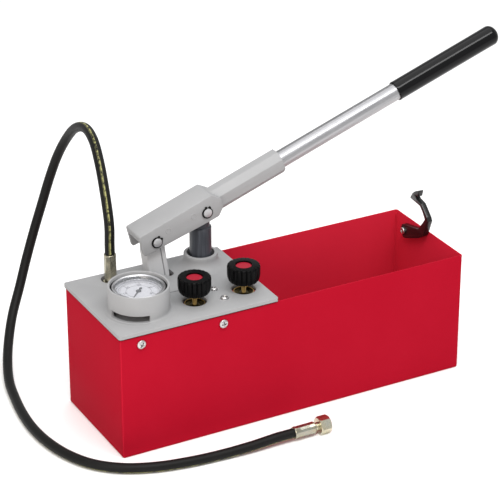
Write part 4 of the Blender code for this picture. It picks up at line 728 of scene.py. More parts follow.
HOSE_DIAMETER = 13.4
HOSE_START = middle("hose_ferrule_upper")
HOSE_START.z = levels("hose_ferrule_upper")[1]
HOSE_PORT = Vector((HOSE_START.x, HOSE_START.y, 0))
HOSE_ROUTE = [
    (1.5, 3, 258), (3.5, 18, 296), (9.5, 45, 325),
    (17.5, 80, 342), (24.5, 120, 343), (27.5, 158, 329),
    (28.5, 190, 304), (23.5, 214, 270), (15.5, 228, 232),
    (4.5, 234, 192), (-9.5, 234, 153), (-25.5, 228, 115),
    (-43.5, 214, 81), (-64.5, 193, 52), (-83.5, 164, 30),
    (-100.5, 129, 16), (-114.5, 90, 9), (-123.5, 49, 7),
    (-130.5, 7, 7), (-133.5, -35, 7), (-130.5, -77, 7),
    (-120.5, -117, 7), (-101.5, -153, 7), (-71.5, -180, 7),
    (-33.5, -197, 7), (8.5, -206, 7), (50.5, -210, 7),
    (93.5, -213, 9), (130.5, -213, 11),
]
HOSE_END = HOSE_PORT + Vector((156.5, -213, 11))


def smooth_route(points, steps):
    """A smooth line through the points (Catmull-Rom), its two end stretches straight."""
    line = [points[0]]
    for before, start, end, after in zip(points, points[1:], points[2:], points[3:]):
        for i in range(steps):
            t = i / steps
            line.append(0.5 * (2 * start + (end - before) * t
                               + (2 * before - 5 * start + 4 * end - after) * t ** 2
                               + (3 * start - before - 3 * end + after) * t ** 3))
    return line + points[-2:]


def line_length(line):
    return sum((b - a).length for a, b in zip(line, line[1:]))


def hose():
    floor_line = HOSE_DIAMETER / 2 + GAP
    points = [HOSE_START + Vector((0, 0, GAP)), HOSE_START + Vector((0, 0, HOSE_DIAMETER))]
    points += [HOSE_PORT + Vector((x, y, max(z, floor_line))) for x, y, z in HOSE_ROUTE]
    points += [HOSE_END - Vector((HOSE_DIAMETER, 0, 0)), HOSE_END - Vector((GAP, 0, 0))]
    line = smooth_route(points, 8)
    data = bpy.data.curves.new("hose_line", "CURVE")
    data.dimensions = "3D"
    data.twist_mode = "MINIMUM"
    data.bevel_depth = HOSE_DIAMETER / 2 * MM
    data.bevel_resolution = 8
    data.use_fill_caps = True
    spline = data.splines.new("POLY")
    spline.points.add(len(line) - 1)
    for point, place in zip(spline.points, line):
        point.co = (*(place * MM), 1)
    piece = bpy.data.objects.new("hose_line", data)
    bpy.context.scene.collection.objects.link(piece)
    material, slot = HOSE_COVER
    data.materials.append(material)
    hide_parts("hose")
    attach(piece, "tank_unit")
    return piece, line


hose_piece, hose_line = hose()

# Places taken from the frame

FRONT_VIEW = Matrix.Rotation(pi / 2, 4, "X")        # an outline's x, y become X, Z
ALONG_X = Matrix.Rotation(pi / 2, 4, "Y")           # a turned form's axis becomes X
lever_place = at(*piston_pin, (-LEVER_ANGLE, "Y"))
link_place = at(*link_pivot, (-LINK_LEAN, "Y"))
gauge = middle("gauge_bezel")
knobs = [middle("valve_knob_1"), middle("valve_knob_2")]


# Tank

TANK_SHEET = 1.5
TANK_BEND = 3
WELD_RADIUS = 1.4
WELD_RIPPLES = 90


def tank():
    """Open box with rolled bends, a dressed rim and a weld bead in each inner corner."""
    piece = block("tank_shell", tank_low, tank_high)
    pick(piece, "FACE", lambda face: face.normal.z > 0.9)
    bpy.ops.mesh.delete(type="ONLY_FACE")
    bpy.ops.object.mode_set(mode="OBJECT")
    rounded_edges(piece, TANK_BEND, 8)
    apply_modifier(piece, "SOLIDIFY", thickness=TANK_SHEET * MM, offset=-1, use_even_offset=True)
    rounded_edges(piece, 0.35, 2, 60)
    dress(piece, RED, node="tank")
    inset = TANK_SHEET + 0.4
    low, high = tank_low.z + inset, tank_high.z - 3
    line = [(0, low)]
    for i in range(1, WELD_RIPPLES):
        swell = WELD_RADIUS * (1 + 0.12 * sin(i * 2.4))
        line.append((swell, low + (high - low) * i / WELD_RIPPLES))
    line.append((0, high))
    for i, (x, y) in enumerate(((-1, -1), (1, -1), (1, 1), (-1, 1)), 1):
        corner = at(x * (tank_high.x - inset), y * (tank_high.y - inset), 0)
        turned_piece("tank_weld_%d" % i, RED, line, corner, steps=16, angle=60)


# Head plate

PLATE_CORNER = 3
COLLAR_DIAMETER = 80
COLLAR_BORE = 74
COLLAR_STEP_DIAMETER = 92
COLLAR_STEP = 1.2
COLLAR_FOOT = 3.5
DRAIN_FROM = radians(184)
DRAIN_TO = radians(265)
DRAIN_RISE = 2
DRAIN_HEIGHT = 8.7
BOSS_DIAMETER = 45.5
BOSS_BORE = 37
BOSS_HEIGHT = 18.7
BOSS_FOOT_DIAMETER = 78
BOSS_STRAIGHT = 5
VALVE_HOLE = 32
HOSE_HOLE = 26
LINK_SLOT_LENGTH = 45
LINK_SLOT_WIDTH = 23
LINK_SLOT_SHIFT = -2.5
UNDER_WIDTH = 26            # of the lugs and ears below the plate
UNDER_DROP = 24
LUG_THICKNESS = 11
EAR_THICKNESS = 8
PAD_LOW = (-147, -7)
PAD_HIGH = (-104, 30)
PAD_RISE = 1.1
REBATE_HEIGHT = 0.9
REBATE_WIDTH = 1.5


def top_edge(radius, top, edge):
    """Profile points of a softened edge from the top face to the wall at the radius."""
    return [(radius - edge, top), (radius - 0.3 * edge, top - 0.3 * edge), (radius, top - edge)]


def plate_collar():
    """Round housing of the gauge, with a soft foot and a low step around it."""
    outer, inner, step = COLLAR_DIAMETER / 2, COLLAR_BORE / 2, COLLAR_STEP_DIAMETER / 2
    top, edge = plate_high.z, 0.9
    low = plate_top + COLLAR_STEP
    profile = [(inner, top - edge), (inner + 0.3 * edge, top - 0.3 * edge), (inner + edge, top)]
    profile += top_edge(outer, top, edge) + [(outer, low + COLLAR_FOOT)]
    profile += fillet((outer, low + COLLAR_FOOT), (outer + COLLAR_FOOT, low))
    profile += [(outer + COLLAR_FOOT, low), (step - edge, low), (step + 0.2, low - 0.4 * edge)]
    profile += [(step + 2 * COLLAR_STEP, plate_top - 0.1), (step, plate_middle), (inner, plate_middle)]
    form = placed(turned("collar", profile, ROUND_LARGE), above(gauge))
    span = (DRAIN_FROM, DRAIN_TO)
    outline = arc((0, 0), outer + 6, *span) + arc((0, 0), inner - 3, *reversed(span))
    slot = rounded_edges(slab("drain", outline, DRAIN_HEIGHT), 0.8, 2, 60)
    return cut(form, placed(slot, at(gauge.x, gauge.y, plate_top + DRAIN_RISE + DRAIN_HEIGHT / 2)))


def plate_boss():
    """Boss around the piston, flaring softly into the plate."""
    outer, base = BOSS_DIAMETER / 2, BOSS_FOOT_DIAMETER / 2
    top = plate_top + BOSS_HEIGHT
    low = top - BOSS_STRAIGHT
    profile = [(0, top)] + top_edge(outer, top, 1.2)
    profile += [(outer, low)] + fillet((outer, low), (base, plate_top), count=14)
    profile += [(base, plate_top - 0.05), (base - 1, plate_middle), (0, plate_middle)]
    form = placed(turned("boss", profile, ROUND_LARGE), above(piston_pin))
    back = plate_high.y - 1
    return cut(form, block("behind", (-base * 4, back, 0), (base, back + base, 2 * top)))


def plate_undersides():
    """Lugs for the wall screws and ears for the link, under the plate."""
    inside = tank_high.y - TANK_SHEET - GAP
    spots = [(middle("wall_screw_front_%d" % i).x, 0, inside, LUG_THICKNESS) for i in (1, 2)]
    spots.append((link_pivot.x, link_pivot.y, size("link_base_pin").y / 2, EAR_THICKNESS))
    for x, y, face, thickness in spots:
        for side in (-1, 1):
            low_y, high_y = sorted((side * face, side * (face - thickness)))
            yield ((x - UNDER_WIDTH / 2, y + low_y, plate_bottom - UNDER_DROP),
                   (x + UNDER_WIDTH / 2, y + high_y, plate_middle))


def plate_openings():
    """Solid forms of the holes and of the rebate that the near-black shadow strip sits in."""
    half_length, half_width = LINK_SLOT_LENGTH / 2, LINK_SLOT_WIDTH / 2
    slot = rectangle(-half_length, -half_width, half_length, half_width, 8)
    yield placed(slab("link_slot", slot, 4 * PLATE_THICKNESS),
                 at(link_pivot.x + LINK_SLOT_SHIFT, link_pivot.y, plate_middle))
    low, high = plate_bottom - 5, plate_top + 5
    for spot, width, top in ((knobs[0], VALVE_HOLE, high), (knobs[1], VALVE_HOLE, high),
                             (HOSE_PORT, HOSE_HOLE, high), (gauge, size("gauge_stem").y + 4, high),
                             (piston_pin, BOSS_BORE, plate_top + 2 * BOSS_HEIGHT)):
        yield round_bar("hole", (spot.x, spot.y, low), (spot.x, spot.y, top), width, ROUND_LARGE)
    around = rectangle(*(side * 1.1 for side in (*plate_low.xy, *plate_high.xy)), PLATE_CORNER)
    rebate = slab("rebate", around, 2 * REBATE_HEIGHT)
    inside = rectangle(plate_low.x + REBATE_WIDTH, tank_low.y, plate_high.x + PLATE_THICKNESS,
                       tank_high.y, TANK_BEND)
    cut(rebate, slab("inside", inside, 4 * REBATE_HEIGHT))
    yield placed(rebate, at(0, 0, plate_bottom))


def head_plate():
    """The whole casting as one piece, with its holes, and a low pad on it."""
    outline = rectangle(plate_low.x, plate_low.y, plate_high.x, plate_high.y, PLATE_CORNER)
    piece = placed(slab("head_casting", outline, PLATE_THICKNESS), at(0, 0, plate_middle))
    rounded_edges(piece, 0.6)
    openings = list(plate_openings())
    join(piece, plate_collar(), plate_boss())
    cut(piece, *openings)
    for ends in plate_undersides():
        join(piece, rounded_edges(block("under", *ends), 1, 2))
    dress(piece, PLATE_GREY, node="head_plate", angle=28)
    pad = placed(slab("plate_pad", rectangle(*PAD_LOW, *PAD_HIGH, 1.5), 2 * PAD_RISE), at(0, 0, plate_top))
    dress(rounded_edges(pad, 0.25, 2, 60), PLATE_GREY)


def plate_shadow_strip():
    """Near-black strip in the rebate, along three sides of the plate: a dark piece put in as painted shadow
    under the plate's edge.
    """
    outer, inner = 0.4, REBATE_WIDTH - 0.05
    right = plate_high.x - 1
    left, near, far = plate_low.x, plate_low.y, plate_high.y
    corner = PLATE_CORNER - outer
    outline = rounded([
        (right, near + inner, 0), (left + inner, near + inner, 1), (left + inner, far - inner, 1),
        (right, far - inner, 0), (right, far - outer, 0), (left + outer, far - outer, corner),
        (left + outer, near + outer, corner), (right, near + outer, 0)])
    # painted shadow: this near-black strip makes the dark line under the plate's edge
    bead = slab("plate_shadow_strip", outline, REBATE_HEIGHT)
    dress(placed(bead, at(0, 0, plate_bottom + REBATE_HEIGHT / 2 - 0.1)), PAINTED_SHADOW_BLACK)


# Screws


def cross_screw(name, head, height, shank, place):
    """Pan-head screw with a tapered cross recess. Its head stands on z = 0."""
    length = max(size(name.replace("_piece", ""))) - height
    profile = dome(head / 2, 0.65 * height, 0.35 * height, 8)
    profile += [(head / 2, 0), (shank / 2, 0), (shank / 2, -length + 1), (shank / 2 - 1, -length),
                (0, -length)]
    piece = turned(name, profile, ROUND_SMALL)
    for turn in (0, pi / 2):
        wing = block("wing", (-0.36 * head, -0.105 * head, 0.08 * height),
                     (0.36 * head, 0.105 * head, height + 1))
        pick(wing, "FACE", lambda face: face.normal.z < -0.9)
        resize_picked(0.5, 0.55, 1)
        cut(piece, placed(wing, Matrix.Rotation(turn + 0.3, 4, "Z")))
    dress(placed(piece, place), SCREW_STEEL)


def screws():
    for i in (1, 2):
        x, y, _ = middle("plate_screw_%d" % i)
        cross_screw("plate_screw_piece_%d" % i, 10, 2.8, 5, at(x, y, plate_top + GAP, (0.5 * i, "Z")))
        washer = [(5, 0.25), (6, 0.2), (6, 0.02), (5, 0.02)]
        turned_piece("plate_washer_%d" % i, STEEL, washer, at(x, y, plate_top), steps=ROUND_SMALL)
    for side, name in ((-1, "front"), (1, "back")):
        for i in (1, 2):
            node = "wall_screw_%s_%d" % (name, i)
            x, _, z = middle(node)
            cross_screw(node + "_piece", 12, 3.2, 6,
                        at(x, side * (tank_high.y + GAP), z, (0.7 * i, "Z"), (-side * pi / 2, "X")))


# Pump

PIN_DIAMETER = 12


def piston():
    """Plunger: chamfered shoulder, domed neck around the pin, and its seal near the lower end."""
    low, high = levels("piston")
    body, neck = round_radius("piston"), high - piston_pin.z
    seal_low, seal_high = levels("piston_seal")
    groove = body - 2.6
    shoulder = piston_pin.z - 29
    profile = dome(neck, neck, piston_pin.z, 14)
    profile += [(neck, shoulder + 3)] + fillet((neck, shoulder + 3), (neck + 1.2, shoulder + 2))
    profile += [(body - 0.8, shoulder + 1.4), (body - 0.2, shoulder + 1), (body, shoulder),
                (body, seal_high + GAP), (groove, seal_high + GAP), (groove, seal_low - GAP),
                (body, seal_low - GAP), (body, low + 1), (body - 1, low), (0, low)]
    piece = turned("piston_piece", profile, ROUND_LARGE)
    cut(piece, cross_bar("hole", 0, piston_pin.z, 2 * body, PIN_DIAMETER + 2 * GAP))
    dress(placed(piece, above(piston_pin)), SLATE, "pump_piston")
    rim = round_radius("piston_seal")
    profile = [(groove + GAP, seal_high), (rim - 0.5, seal_high), (rim, seal_high - 1),
               (rim, seal_low + 1), (rim - 0.5, seal_low), (groove + GAP, seal_low)]
    turned_piece("piston_seal_piece", RUBBER, profile, above(piston_pin), "pump_piston", steps=ROUND_MEDIUM)


def wiper():
    low, high = levels("wiper_ring")
    outer, inner = round_radius("wiper_ring"), round_radius("piston") + GAP
    profile = [(inner, high), (inner + 0.8, high), (inner + 2, low + 3.2), (outer - 1.5, low + 3),
               (outer, low + 4.2), (outer, low), (inner, low)]
    turned_piece("wiper_piece", RUBBER, profile, above(piston_pin), node="wiper_ring")


# Lever

YOKE_WIDTH = 41
YOKE_CHEEK = 4.8
YOKE_ROOF = 3.5
YOKE_ABOVE = 19.5
YOKE_BELOW = 12
YOKE_HEEL = 14.5
YOKE_LEFT = 20
YOKE_RIGHT = 25
YOKE_SLOPE = 13.75
YOKE_CAVITY = 16.5          # right end of the hollow, from the piston pin
YOKE_LIP = 4.5
SLEEVE_END = 125
SLEEVE_WIDTH = 30
SLEEVE_HEIGHT = 32
SLEEVE_CHAMFER = 8.5
TUBE_DIAMETER = 24
TUBE_WALL = 2
TUBE_START = 40
TUBE_END = 479
GRIP_DIAMETER = 28
GRIP_START = 315
GRIP_END = 485
GRIP_DOME = 11


def lever_casting():
    """Channel over the two pins, running into the eight-sided sleeve of the handle."""
    left = -PIN_SPACING - YOKE_LEFT
    outline = rounded([
        (YOKE_SLOPE, YOKE_ABOVE, 4), (left, YOKE_ABOVE, 3), (left - 3, -YOKE_BELOW + 2, 3),
        (0, -YOKE_HEEL, 8), (YOKE_SLOPE, -YOKE_HEEL, 4), (YOKE_RIGHT - 2, -6, 3),
        (YOKE_RIGHT, 8, 3)])
    piece = placed(rounded_edges(slab("lever_casting", outline, YOKE_WIDTH), 0.8, 3, 50), FRONT_VIEW)
    width, height, chamfer = SLEEVE_WIDTH / 2, SLEEVE_HEIGHT / 2, SLEEVE_CHAMFER
    corners = [(height, width - chamfer), (height - chamfer, width), (chamfer - height, width),
               (-height, width - chamfer), (-height, chamfer - width), (chamfer - height, -width),
               (height - chamfer, -width), (height, chamfer - width)]
    sleeve = slab("sleeve", rounded([(x, y, 1.6) for x, y in corners]), SLEEVE_END)
    placed(rounded_edges(sleeve, 0.9, 3, 60), at(SLEEVE_END / 2, 0, 0) @ ALONG_X)
    ceiling, lip = YOKE_ABOVE - YOKE_ROOF, left + YOKE_LIP
    hollow = slab("hollow", [
        (YOKE_CAVITY, ceiling), (lip, ceiling), (lip, ceiling - 5), (left - 9, ceiling - 5),
        (left - 9, -30), (YOKE_CAVITY, -30)], YOKE_WIDTH - 2 * YOKE_CHEEK)
    placed(hollow, FRONT_VIEW)
    bore = round_bar("bore", (TUBE_START - GAP, 0, 0), (SLEEVE_END + 5, 0, 0), TUBE_DIAMETER + 2 * GAP,
                     ROUND_LARGE)
    pins = [cross_bar("pin_hole", x, 0, YOKE_WIDTH, PIN_DIAMETER + 2 * GAP) for x in (0, -PIN_SPACING)]
    join(piece, sleeve)
    cut(piece, hollow, bore, *pins)
    dress(placed(piece, lever_place), GREY, "pump_lever", "lever_yoke", 28)
    profile = [(3.0, 0.15), (3.4, 0.4), (3.8, 0.4), (4.2, 0.15), (4.2, -0.2), (3.0, -0.2)]
    for i, (x, y) in enumerate(((-58, 6), (-19, 5))):
        for side, name in ((-1, "front"), (1, "back")):
            place = lever_place @ at(x, side * YOKE_WIDTH / 2, y, (-side * pi / 2, "X"))
            turned_piece("ejector_mark_%d_%s" % (i, name), GREY, profile, place, "pump_lever",
                         steps=ROUND_MEDIUM)


def lever_pins():
    """Ground pins with their grooves, and an open spring ring on each end."""
    face, radius = YOKE_WIDTH / 2, PIN_DIAMETER / 2
    thickness = size("retaining_ring_link_front").y
    groove = face + 2 * GAP + thickness
    for name, x, turn in (("link", -PIN_SPACING, 50), ("piston", 0, 85)):
        node = "lever_%s_pin" % name
        end = size(node).y / 2
        half = [(0, end), (radius - 0.9, end), (radius - 0.25, end - 0.3), (radius, end - 0.9),
                (radius, groove), (radius - 0.8, groove), (radius - 0.8, face), (radius, face)]
        turned_piece(node + "_piece", PIN_STEEL, half + [(r, -z) for r, z in reversed(half)],
                     lever_place @ at(x, 0, 0, (pi / 2, "X")), "pump_lever", steps=ROUND_MEDIUM)
        for side, label in ((-1, "front"), (1, "back")):
            ring = spring_ring("retaining_ring_%s_%s_piece" % (name, label), radians(turn) - LEVER_ANGLE,
                               thickness)
            placed(ring, lever_place @ at(x, side * (face + GAP + thickness / 2), 0) @ FRONT_VIEW)
            dress(ring, SPRING, "pump_lever")


def spring_ring(name, opening, thickness):
    """Open ring, widest opposite its gap, with a holed ear on each side of the gap."""
    inner, half_gap, count = PIN_DIAMETER / 2 - 0.5, radians(15), 40
    outline = []
    for i in range(count + 1):
        turn = half_gap + (2 * pi - 2 * half_gap) * i / count
        reach = inner + (1.7 + 0.9 * (1 - cos(turn)) / 2)
        outline.append((reach * cos(opening + turn), reach * sin(opening + turn)))
    outline += arc((0, 0), inner, opening + 2 * pi - half_gap, opening + half_gap)
    ring = slab(name, outline, thickness)
    for side in (-1, 1):
        turn = opening + side * half_gap * 1.35
        spot = at((inner + 1.9) * cos(turn), (inner + 1.9) * sin(turn), 0)
        half = thickness / 2
        join(ring, placed(turned("ear", [(0, half), (1.7, half), (1.7, -half), (0, -half)], 32), spot))
        cut(ring, placed(round_bar("ear_hole", (0, 0, -1), (0, 0, 1), 1.2, 24), spot))
    return ring


def handle():
    outer = TUBE_DIAMETER / 2
    profile = [(outer - TUBE_WALL, TUBE_END), (outer - 0.4, TUBE_END), (outer, TUBE_END - 0.4),
               (outer, GRIP_START), (outer, SLEEVE_END), (outer, TUBE_START), (outer - TUBE_WALL, TUBE_START)]
    turned_piece("handle_tube_piece", ALUMINIUM, profile, lever_place @ ALONG_X, "pump_lever")
    skin, hollow = GRIP_DIAMETER / 2, outer + GAP
    profile = dome(skin, GRIP_DOME, GRIP_END - GRIP_DOME, 16)
    profile += [(skin - 0.15, GRIP_END - 30), (skin - 0.25, GRIP_START + 20),
                (skin - 0.2, GRIP_START + 3), (skin, GRIP_START + 1.6),
                (skin - 0.2, GRIP_START + 0.5), (skin - 0.8, GRIP_START),
                (hollow + 0.3, GRIP_START), (hollow, GRIP_START + 0.3), (hollow, TUBE_END + GAP),
                (0, TUBE_END + GAP)]
    turned_piece("handle_grip_piece", VINYL, profile, lever_place @ ALONG_X, "pump_lever")


# Rocker link

LINK_WIDTH = 28
LINK_THICKNESS = 20
LINK_EYE = 22
LINK_HEAD = 26.4
LINK_HEAD_SHIFT = Vector((2.9, 0.7))
LINK_GROOVE = 2.5
LINK_GROOVE_WIDTH = 1.5
LINK_RIB = 6
EYE_HOLE = 10.6


def rocker_link():
    """Cast link with a groove beside its right rib and a round head inside the lever, and its lower pin."""
    length = ((piston_pin.z - PIN_SPACING * sin(LEVER_ANGLE)) - link_pivot.z) / cos(LINK_LEAN)
    half, eye, head = LINK_WIDTH / 2, LINK_EYE / 2, LINK_HEAD / 2
    x, z = LINK_HEAD_SHIFT.x, length + LINK_HEAD_SHIFT.y
    hip, shoulder = eye + 3, length - head - 5.5
    outline = arc((0, 0), eye, -pi, 0) + [(half, hip), (half, shoulder)]
    outline += arc((x, z), head, 0, pi) + [(-half, shoulder), (-half, hip)]
    piece = placed(slab("rocker_link_piece", outline, LINK_THICKNESS), FRONT_VIEW)
    rounded_edges(piece, 1.2, 3, 40)
    hub = cross_bar("hub", x, z, YOKE_WIDTH / 2 - YOKE_CHEEK - GAP, LINK_HEAD - 1, ROUND_LARGE)
    hole = cross_bar("hole", x, z, 30, PIN_DIAMETER + 2 * GAP + 2 * LINK_HEAD_SHIFT.length)
    eye_hole = cross_bar("eye_hole", 0, 0, 30, EYE_HOLE)
    join(piece, hub)
    cut(piece, hole, eye_hole)
    right = half - LINK_RIB
    for side in (-1, 1):
        low_y, high_y = sorted((side * (LINK_THICKNESS / 2 - LINK_GROOVE), side * LINK_THICKNESS))
        cut(piece, block("groove", (right - LINK_GROOVE_WIDTH, low_y, hip), (right, high_y, shoulder + 2)))
    dress(placed(piece, link_place), LINK_GREY_PAINTED_LIGHT, "link")
    reach = size("link_base_pin").y / 2
    profile = [(0, reach), (4.3, reach), (5, reach - 0.7), (5, 0.7 - reach), (4.3, -reach), (0, -reach)]
    turned_piece("link_base_pin_piece", STEEL, profile, at(*link_pivot, (pi / 2, "X")), steps=ROUND_SMALL)


tank()
head_plate()
plate_shadow_strip()
screws()
piston()
wiper()
lever_casting()
lever_pins()
handle()
rocker_link()


# Gauge

DIAL_MARKS = 50
DIAL_START = radians(225)
DIAL_SWEEP = radians(270)
DIAL_NUMBERS = 6
DIAL_STEP = 10
NUMBER_SIZE = 6


def gauge_parts():
    """Bezel ring, a near-black ring in the gap around it as painted shadow, pane, case and inner ring of the
    gauge.
    """
    here = above(gauge)
    low, top = levels("gauge_bezel")
    outer, case = round_radius("gauge_bezel"), round_radius("gauge_case")
    opening = outer - 4
    pane_low, pane_high = levels("gauge_glass")
    shelf = pane_high + GAP
    profile = [(opening, shelf + 0.4), (opening + 0.6, shelf + 1.1), (opening + 1.3, top - 0.2),
               (opening + 1.8, top), (outer - 1.4, top - 0.15), (outer - 0.5, top - 0.6),
               (outer, top - 1.6), (outer, low + 0.6), (outer - 0.4, low), (case + GAP, low),
               (case + GAP, shelf), (opening, shelf)]
    turned_piece("gauge_bezel_piece", CHROME, profile, here)
    # painted shadow: a near-black ring fills the gap between bezel and collar, where shade falls
    inner, rim = outer + 0.1, COLLAR_BORE / 2 - 0.1
    profile = [(inner, top - 2.4), ((inner + rim) / 2, top - 2), (rim, top - 2.4), (rim, low), (inner, low)]
    turned_piece("gauge_shadow_ring", PAINTED_SHADOW_BLACK, profile, here)
    edge = case - GAP
    profile = [(edge * share, pane_high) for share in (0, 0.3, 0.6, 0.9)]
    profile += [(edge, pane_high - 0.2), (edge, pane_low), (0, pane_low)]
    turned_piece("gauge_pane", PANE, profile, here, node="gauge_glass")
    low, high = levels("gauge_case")
    wall, stem = 1.2, size("gauge_stem").y / 2
    profile = [(case - wall, high), (case, high), (case, low + 2), (case - 0.6, low + 0.6),
               (case - 2, low), (stem + GAP, low), (stem + GAP, low + wall), (case - wall, low + wall)]
    turned_piece("gauge_case_piece", CHROME, profile, here)
    disc, dial_top = round_radius("gauge_dial"), levels("gauge_dial")[1]
    profile = [(disc - 3, dial_top + 3), (disc - 0.5, pane_low - GAP), (disc, pane_low - GAP),
               (disc, dial_top + GAP), (disc - 2.6, dial_top + GAP)]
    turned_piece("gauge_inner_ring", CHROME, profile, here)


def dial():
    """Enamelled dial with a printed scale of plain numbers."""
    here = above(gauge)
    disc, top = round_radius("gauge_dial"), levels("gauge_dial")[1]
    profile = [(1.6, top - 1), (1.6, top), (disc - 0.2, top), (disc, top - 0.3), (disc, top - 1)]
    turned_piece("gauge_dial_piece", DIAL_WHITE, profile, here)
    print_low, print_high = top + 0.01, top + 0.06
    reach = disc - 5.5
    prints = []
    for i in range(DIAL_MARKS + 1):
        major = i % (DIAL_MARKS // (DIAL_NUMBERS - 1)) == 0
        length, width = (4.2, 0.7) if major else (2.2, 0.35)
        mark = block("dial_mark", (reach - length, -width / 2, print_low), (reach, width / 2, print_high))
        turn = Matrix.Rotation(DIAL_START - DIAL_SWEEP * i / DIAL_MARKS, 4, "Z")
        prints.append(placed(mark, here @ turn))
    last = DIAL_START - DIAL_SWEEP
    for inner, width in ((reach + 0.6, 0.5), (disc - 15, 0.35)):
        outline = arc((0, 0), inner + width, DIAL_START, last, radians(4))
        outline += arc((0, 0), inner, last, DIAL_START, radians(4))
        band = slab("dial_band", outline, print_high - print_low)
        prints.append(placed(band, here @ at(0, 0, (print_low + print_high) / 2)))
    for i in range(DIAL_NUMBERS):
        turn = DIAL_START - DIAL_SWEEP * i / (DIAL_NUMBERS - 1)
        spot = Vector((cos(turn), sin(turn), 0)) * (reach - 7.5)
        prints.append(number(str(i * DIAL_STEP), here @ at(spot.x, spot.y, print_low)))
    begin()
    for mark in prints:
        mark.select_set(True)
    bpy.context.view_layer.objects.active = prints[0]
    bpy.ops.object.join()
    dress(named(prints[0], "dial_print"), PRINT_BLACK)


def number(text, place):
    """A plain number as a thin mesh, its middle at the place."""
    begin()
    bpy.ops.object.text_add(location=(0, 0, 0))
    made = bpy.context.object
    made.data.body = text
    made.data.size = NUMBER_SIZE * MM
    made.data.extrude = 0.02 * MM
    made.data.align_x = "CENTER"
    made.data.align_y = "CENTER"
    bpy.ops.object.convert(target="MESH")
    return placed(bpy.context.object, place)


def needle():
    half = [(22, 0.15), (14, 0.7), (0, 1.1), (-5, 1.2), (-8, 2), (-10, 1.4)]
    piece = slab("needle_piece", half + [(x, -y) for x, y in reversed(half)], 0.5)
    rounded_edges(piece, 0.1, 1, 50)
    hub = [(0, 1), (2.2, 1), (3.2, 0.6), (3.5, 0), (3.5, -0.25), (0, -0.25)]
    join(piece, turned("needle_hub", hub, ROUND_SMALL))
    placed(piece, at(gauge.x, gauge.y, middle("gauge_needle").z, (DIAL_START, "Z")))
    dress(piece, PRINT_BLACK, "needle", "gauge_needle")


# Valves

KNOB_RADIUS = 21.7
KNOB_FOOT = 16.5
KNOB_FLUTES = 20
KNOB_FLUTE_DEPTH = 1.5
FLUTE_STEPS = 8
CAP_DIAMETER = 21.4
CAP_LOWER = 0.8             # than in the frame, for a deeper well
THREAD_TURNS = 12


def valve_knob(number, here, body):
    """Fluted knob with a rolled rim, a taper to its foot and a sunk cap."""
    low, high = levels("valve_knob_%d" % number)
    tall, outer, foot, cap = high - low, KNOB_RADIUS, KNOB_FOOT, CAP_DIAMETER / 2
    profile = [(0, tall - 3.2), (cap + 0.3, tall - 3.2), (cap + 0.3, tall - 0.3),
               (cap + 0.7, tall), (outer - 2.4, tall), (outer - 1.2, tall - 0.3),
               (outer - 0.5, tall - 1.0), (outer - 0.1, tall - 2.0), (outer, tall - 3),
               (outer, tall * 0.45), (outer - 0.5, tall * 0.28), (outer - 1.5, tall * 0.14),
               (outer - 3, 1.2), (foot + 1, 0.3), (foot, 0), (3.3, 0), (3.3, tall - 9.8),
               (0, tall - 9.8)]
    piece = turned("valve_knob_piece_%d" % number, profile, KNOB_FLUTES * FLUTE_STEPS)
    spacing = 2 * pi / KNOB_FLUTES

    def near_valley(vertex, reach):
        x, y, z = vertex.co / MM
        turn = atan2(y, x) % spacing
        aside = min(turn, spacing - turn) / spacing
        return aside < reach and hypot(x, y) > outer - 3.2 and 0.1 * tall < z < tall - 0.2

    for reach, depth in ((0.20, 0.45), (0.08, 0.55)):
        pick(piece, "VERT", lambda vertex: near_valley(vertex, reach))
        shrink = 1 - depth * KNOB_FLUTE_DEPTH / outer
        resize_picked(shrink, shrink, 1)
    dress(placed(piece, here @ at(0, 0, low)), KNOB_BLACK, body, angle=26)
    low, high = levels("knob_cap_%d" % number)
    top = high - CAP_LOWER
    profile = [(0, top), (cap * 0.5, top), (cap - 1.4, top), (cap - 0.6, top - 0.1),
               (cap - 0.1, top - 0.5), (cap, low), (0, low)]
    turned_piece("knob_cap_piece_%d" % number, CAP_RED, profile, here, body)


def valve_stem(number, here, body):
    """Stepped brass spindle, and the bonnet and gland nut that it turns in."""
    low, high = levels("valve_spindle_%d" % number)
    rod = round_radius("valve_spindle_%d" % number)
    thread_low, thread_high = plate_top - 8, plate_top + 5
    profile = [(0, high), (rod - 0.5, high), (rod, high - 0.5), (rod, thread_high)]
    for i in range(THREAD_TURNS):
        height = thread_high - (thread_high - thread_low) * (i + 0.5) / THREAD_TURNS
        profile += [(rod - 0.35, height + 0.25), (rod, height - 0.25)]
    profile += [(rod, thread_low), (rod, low), (0, low)]
    turned_piece("valve_spindle_piece_%d" % number, BRASS, profile, here, body, steps=ROUND_SMALL)
    low, high = levels("valve_bonnet_%d" % number)
    outer, bore, flange = round_radius("valve_bonnet_%d" % number), rod + GAP, low + 4
    profile = [(bore, high), (6, high), (8.2, high - 0.8), (8.5, high - 1.4), (8.5, flange),
               (outer - 2.4, flange), (outer - 2, flange - 0.6), (outer - 0.8, flange - 0.6),
               (outer, flange - 1.2), (outer, low), (bore, low)]
    turned_piece("valve_bonnet_piece_%d" % number, BRASS, profile, here, steps=ROUND_MEDIUM)
    foot, rim = high + 0.05, plate_top - 2.6
    profile = [(bore, foot + 5.6), (5, foot + 5.6), (6.4, foot + 4.8), (7, foot + 2), (12, rim - 2.5),
               (12.2, rim - 0.5), (13.6, rim - 0.5), (13.6, rim - 4), (7.6, foot), (bore, foot)]
    # the gland gets the dark brass as painted shade under the knob
    turned_piece("valve_gland_%d" % number, SHADED_BRASS, profile, here)
    profile = [(12.3, rim - 0.4), (12.5, rim), (13.4, rim), (13.7, rim - 0.3),
               (13.7, rim - 0.45), (12.3, rim - 0.45)]
    turned_piece("valve_gland_ring_%d" % number, BRASS, profile, here)


# Under the plate

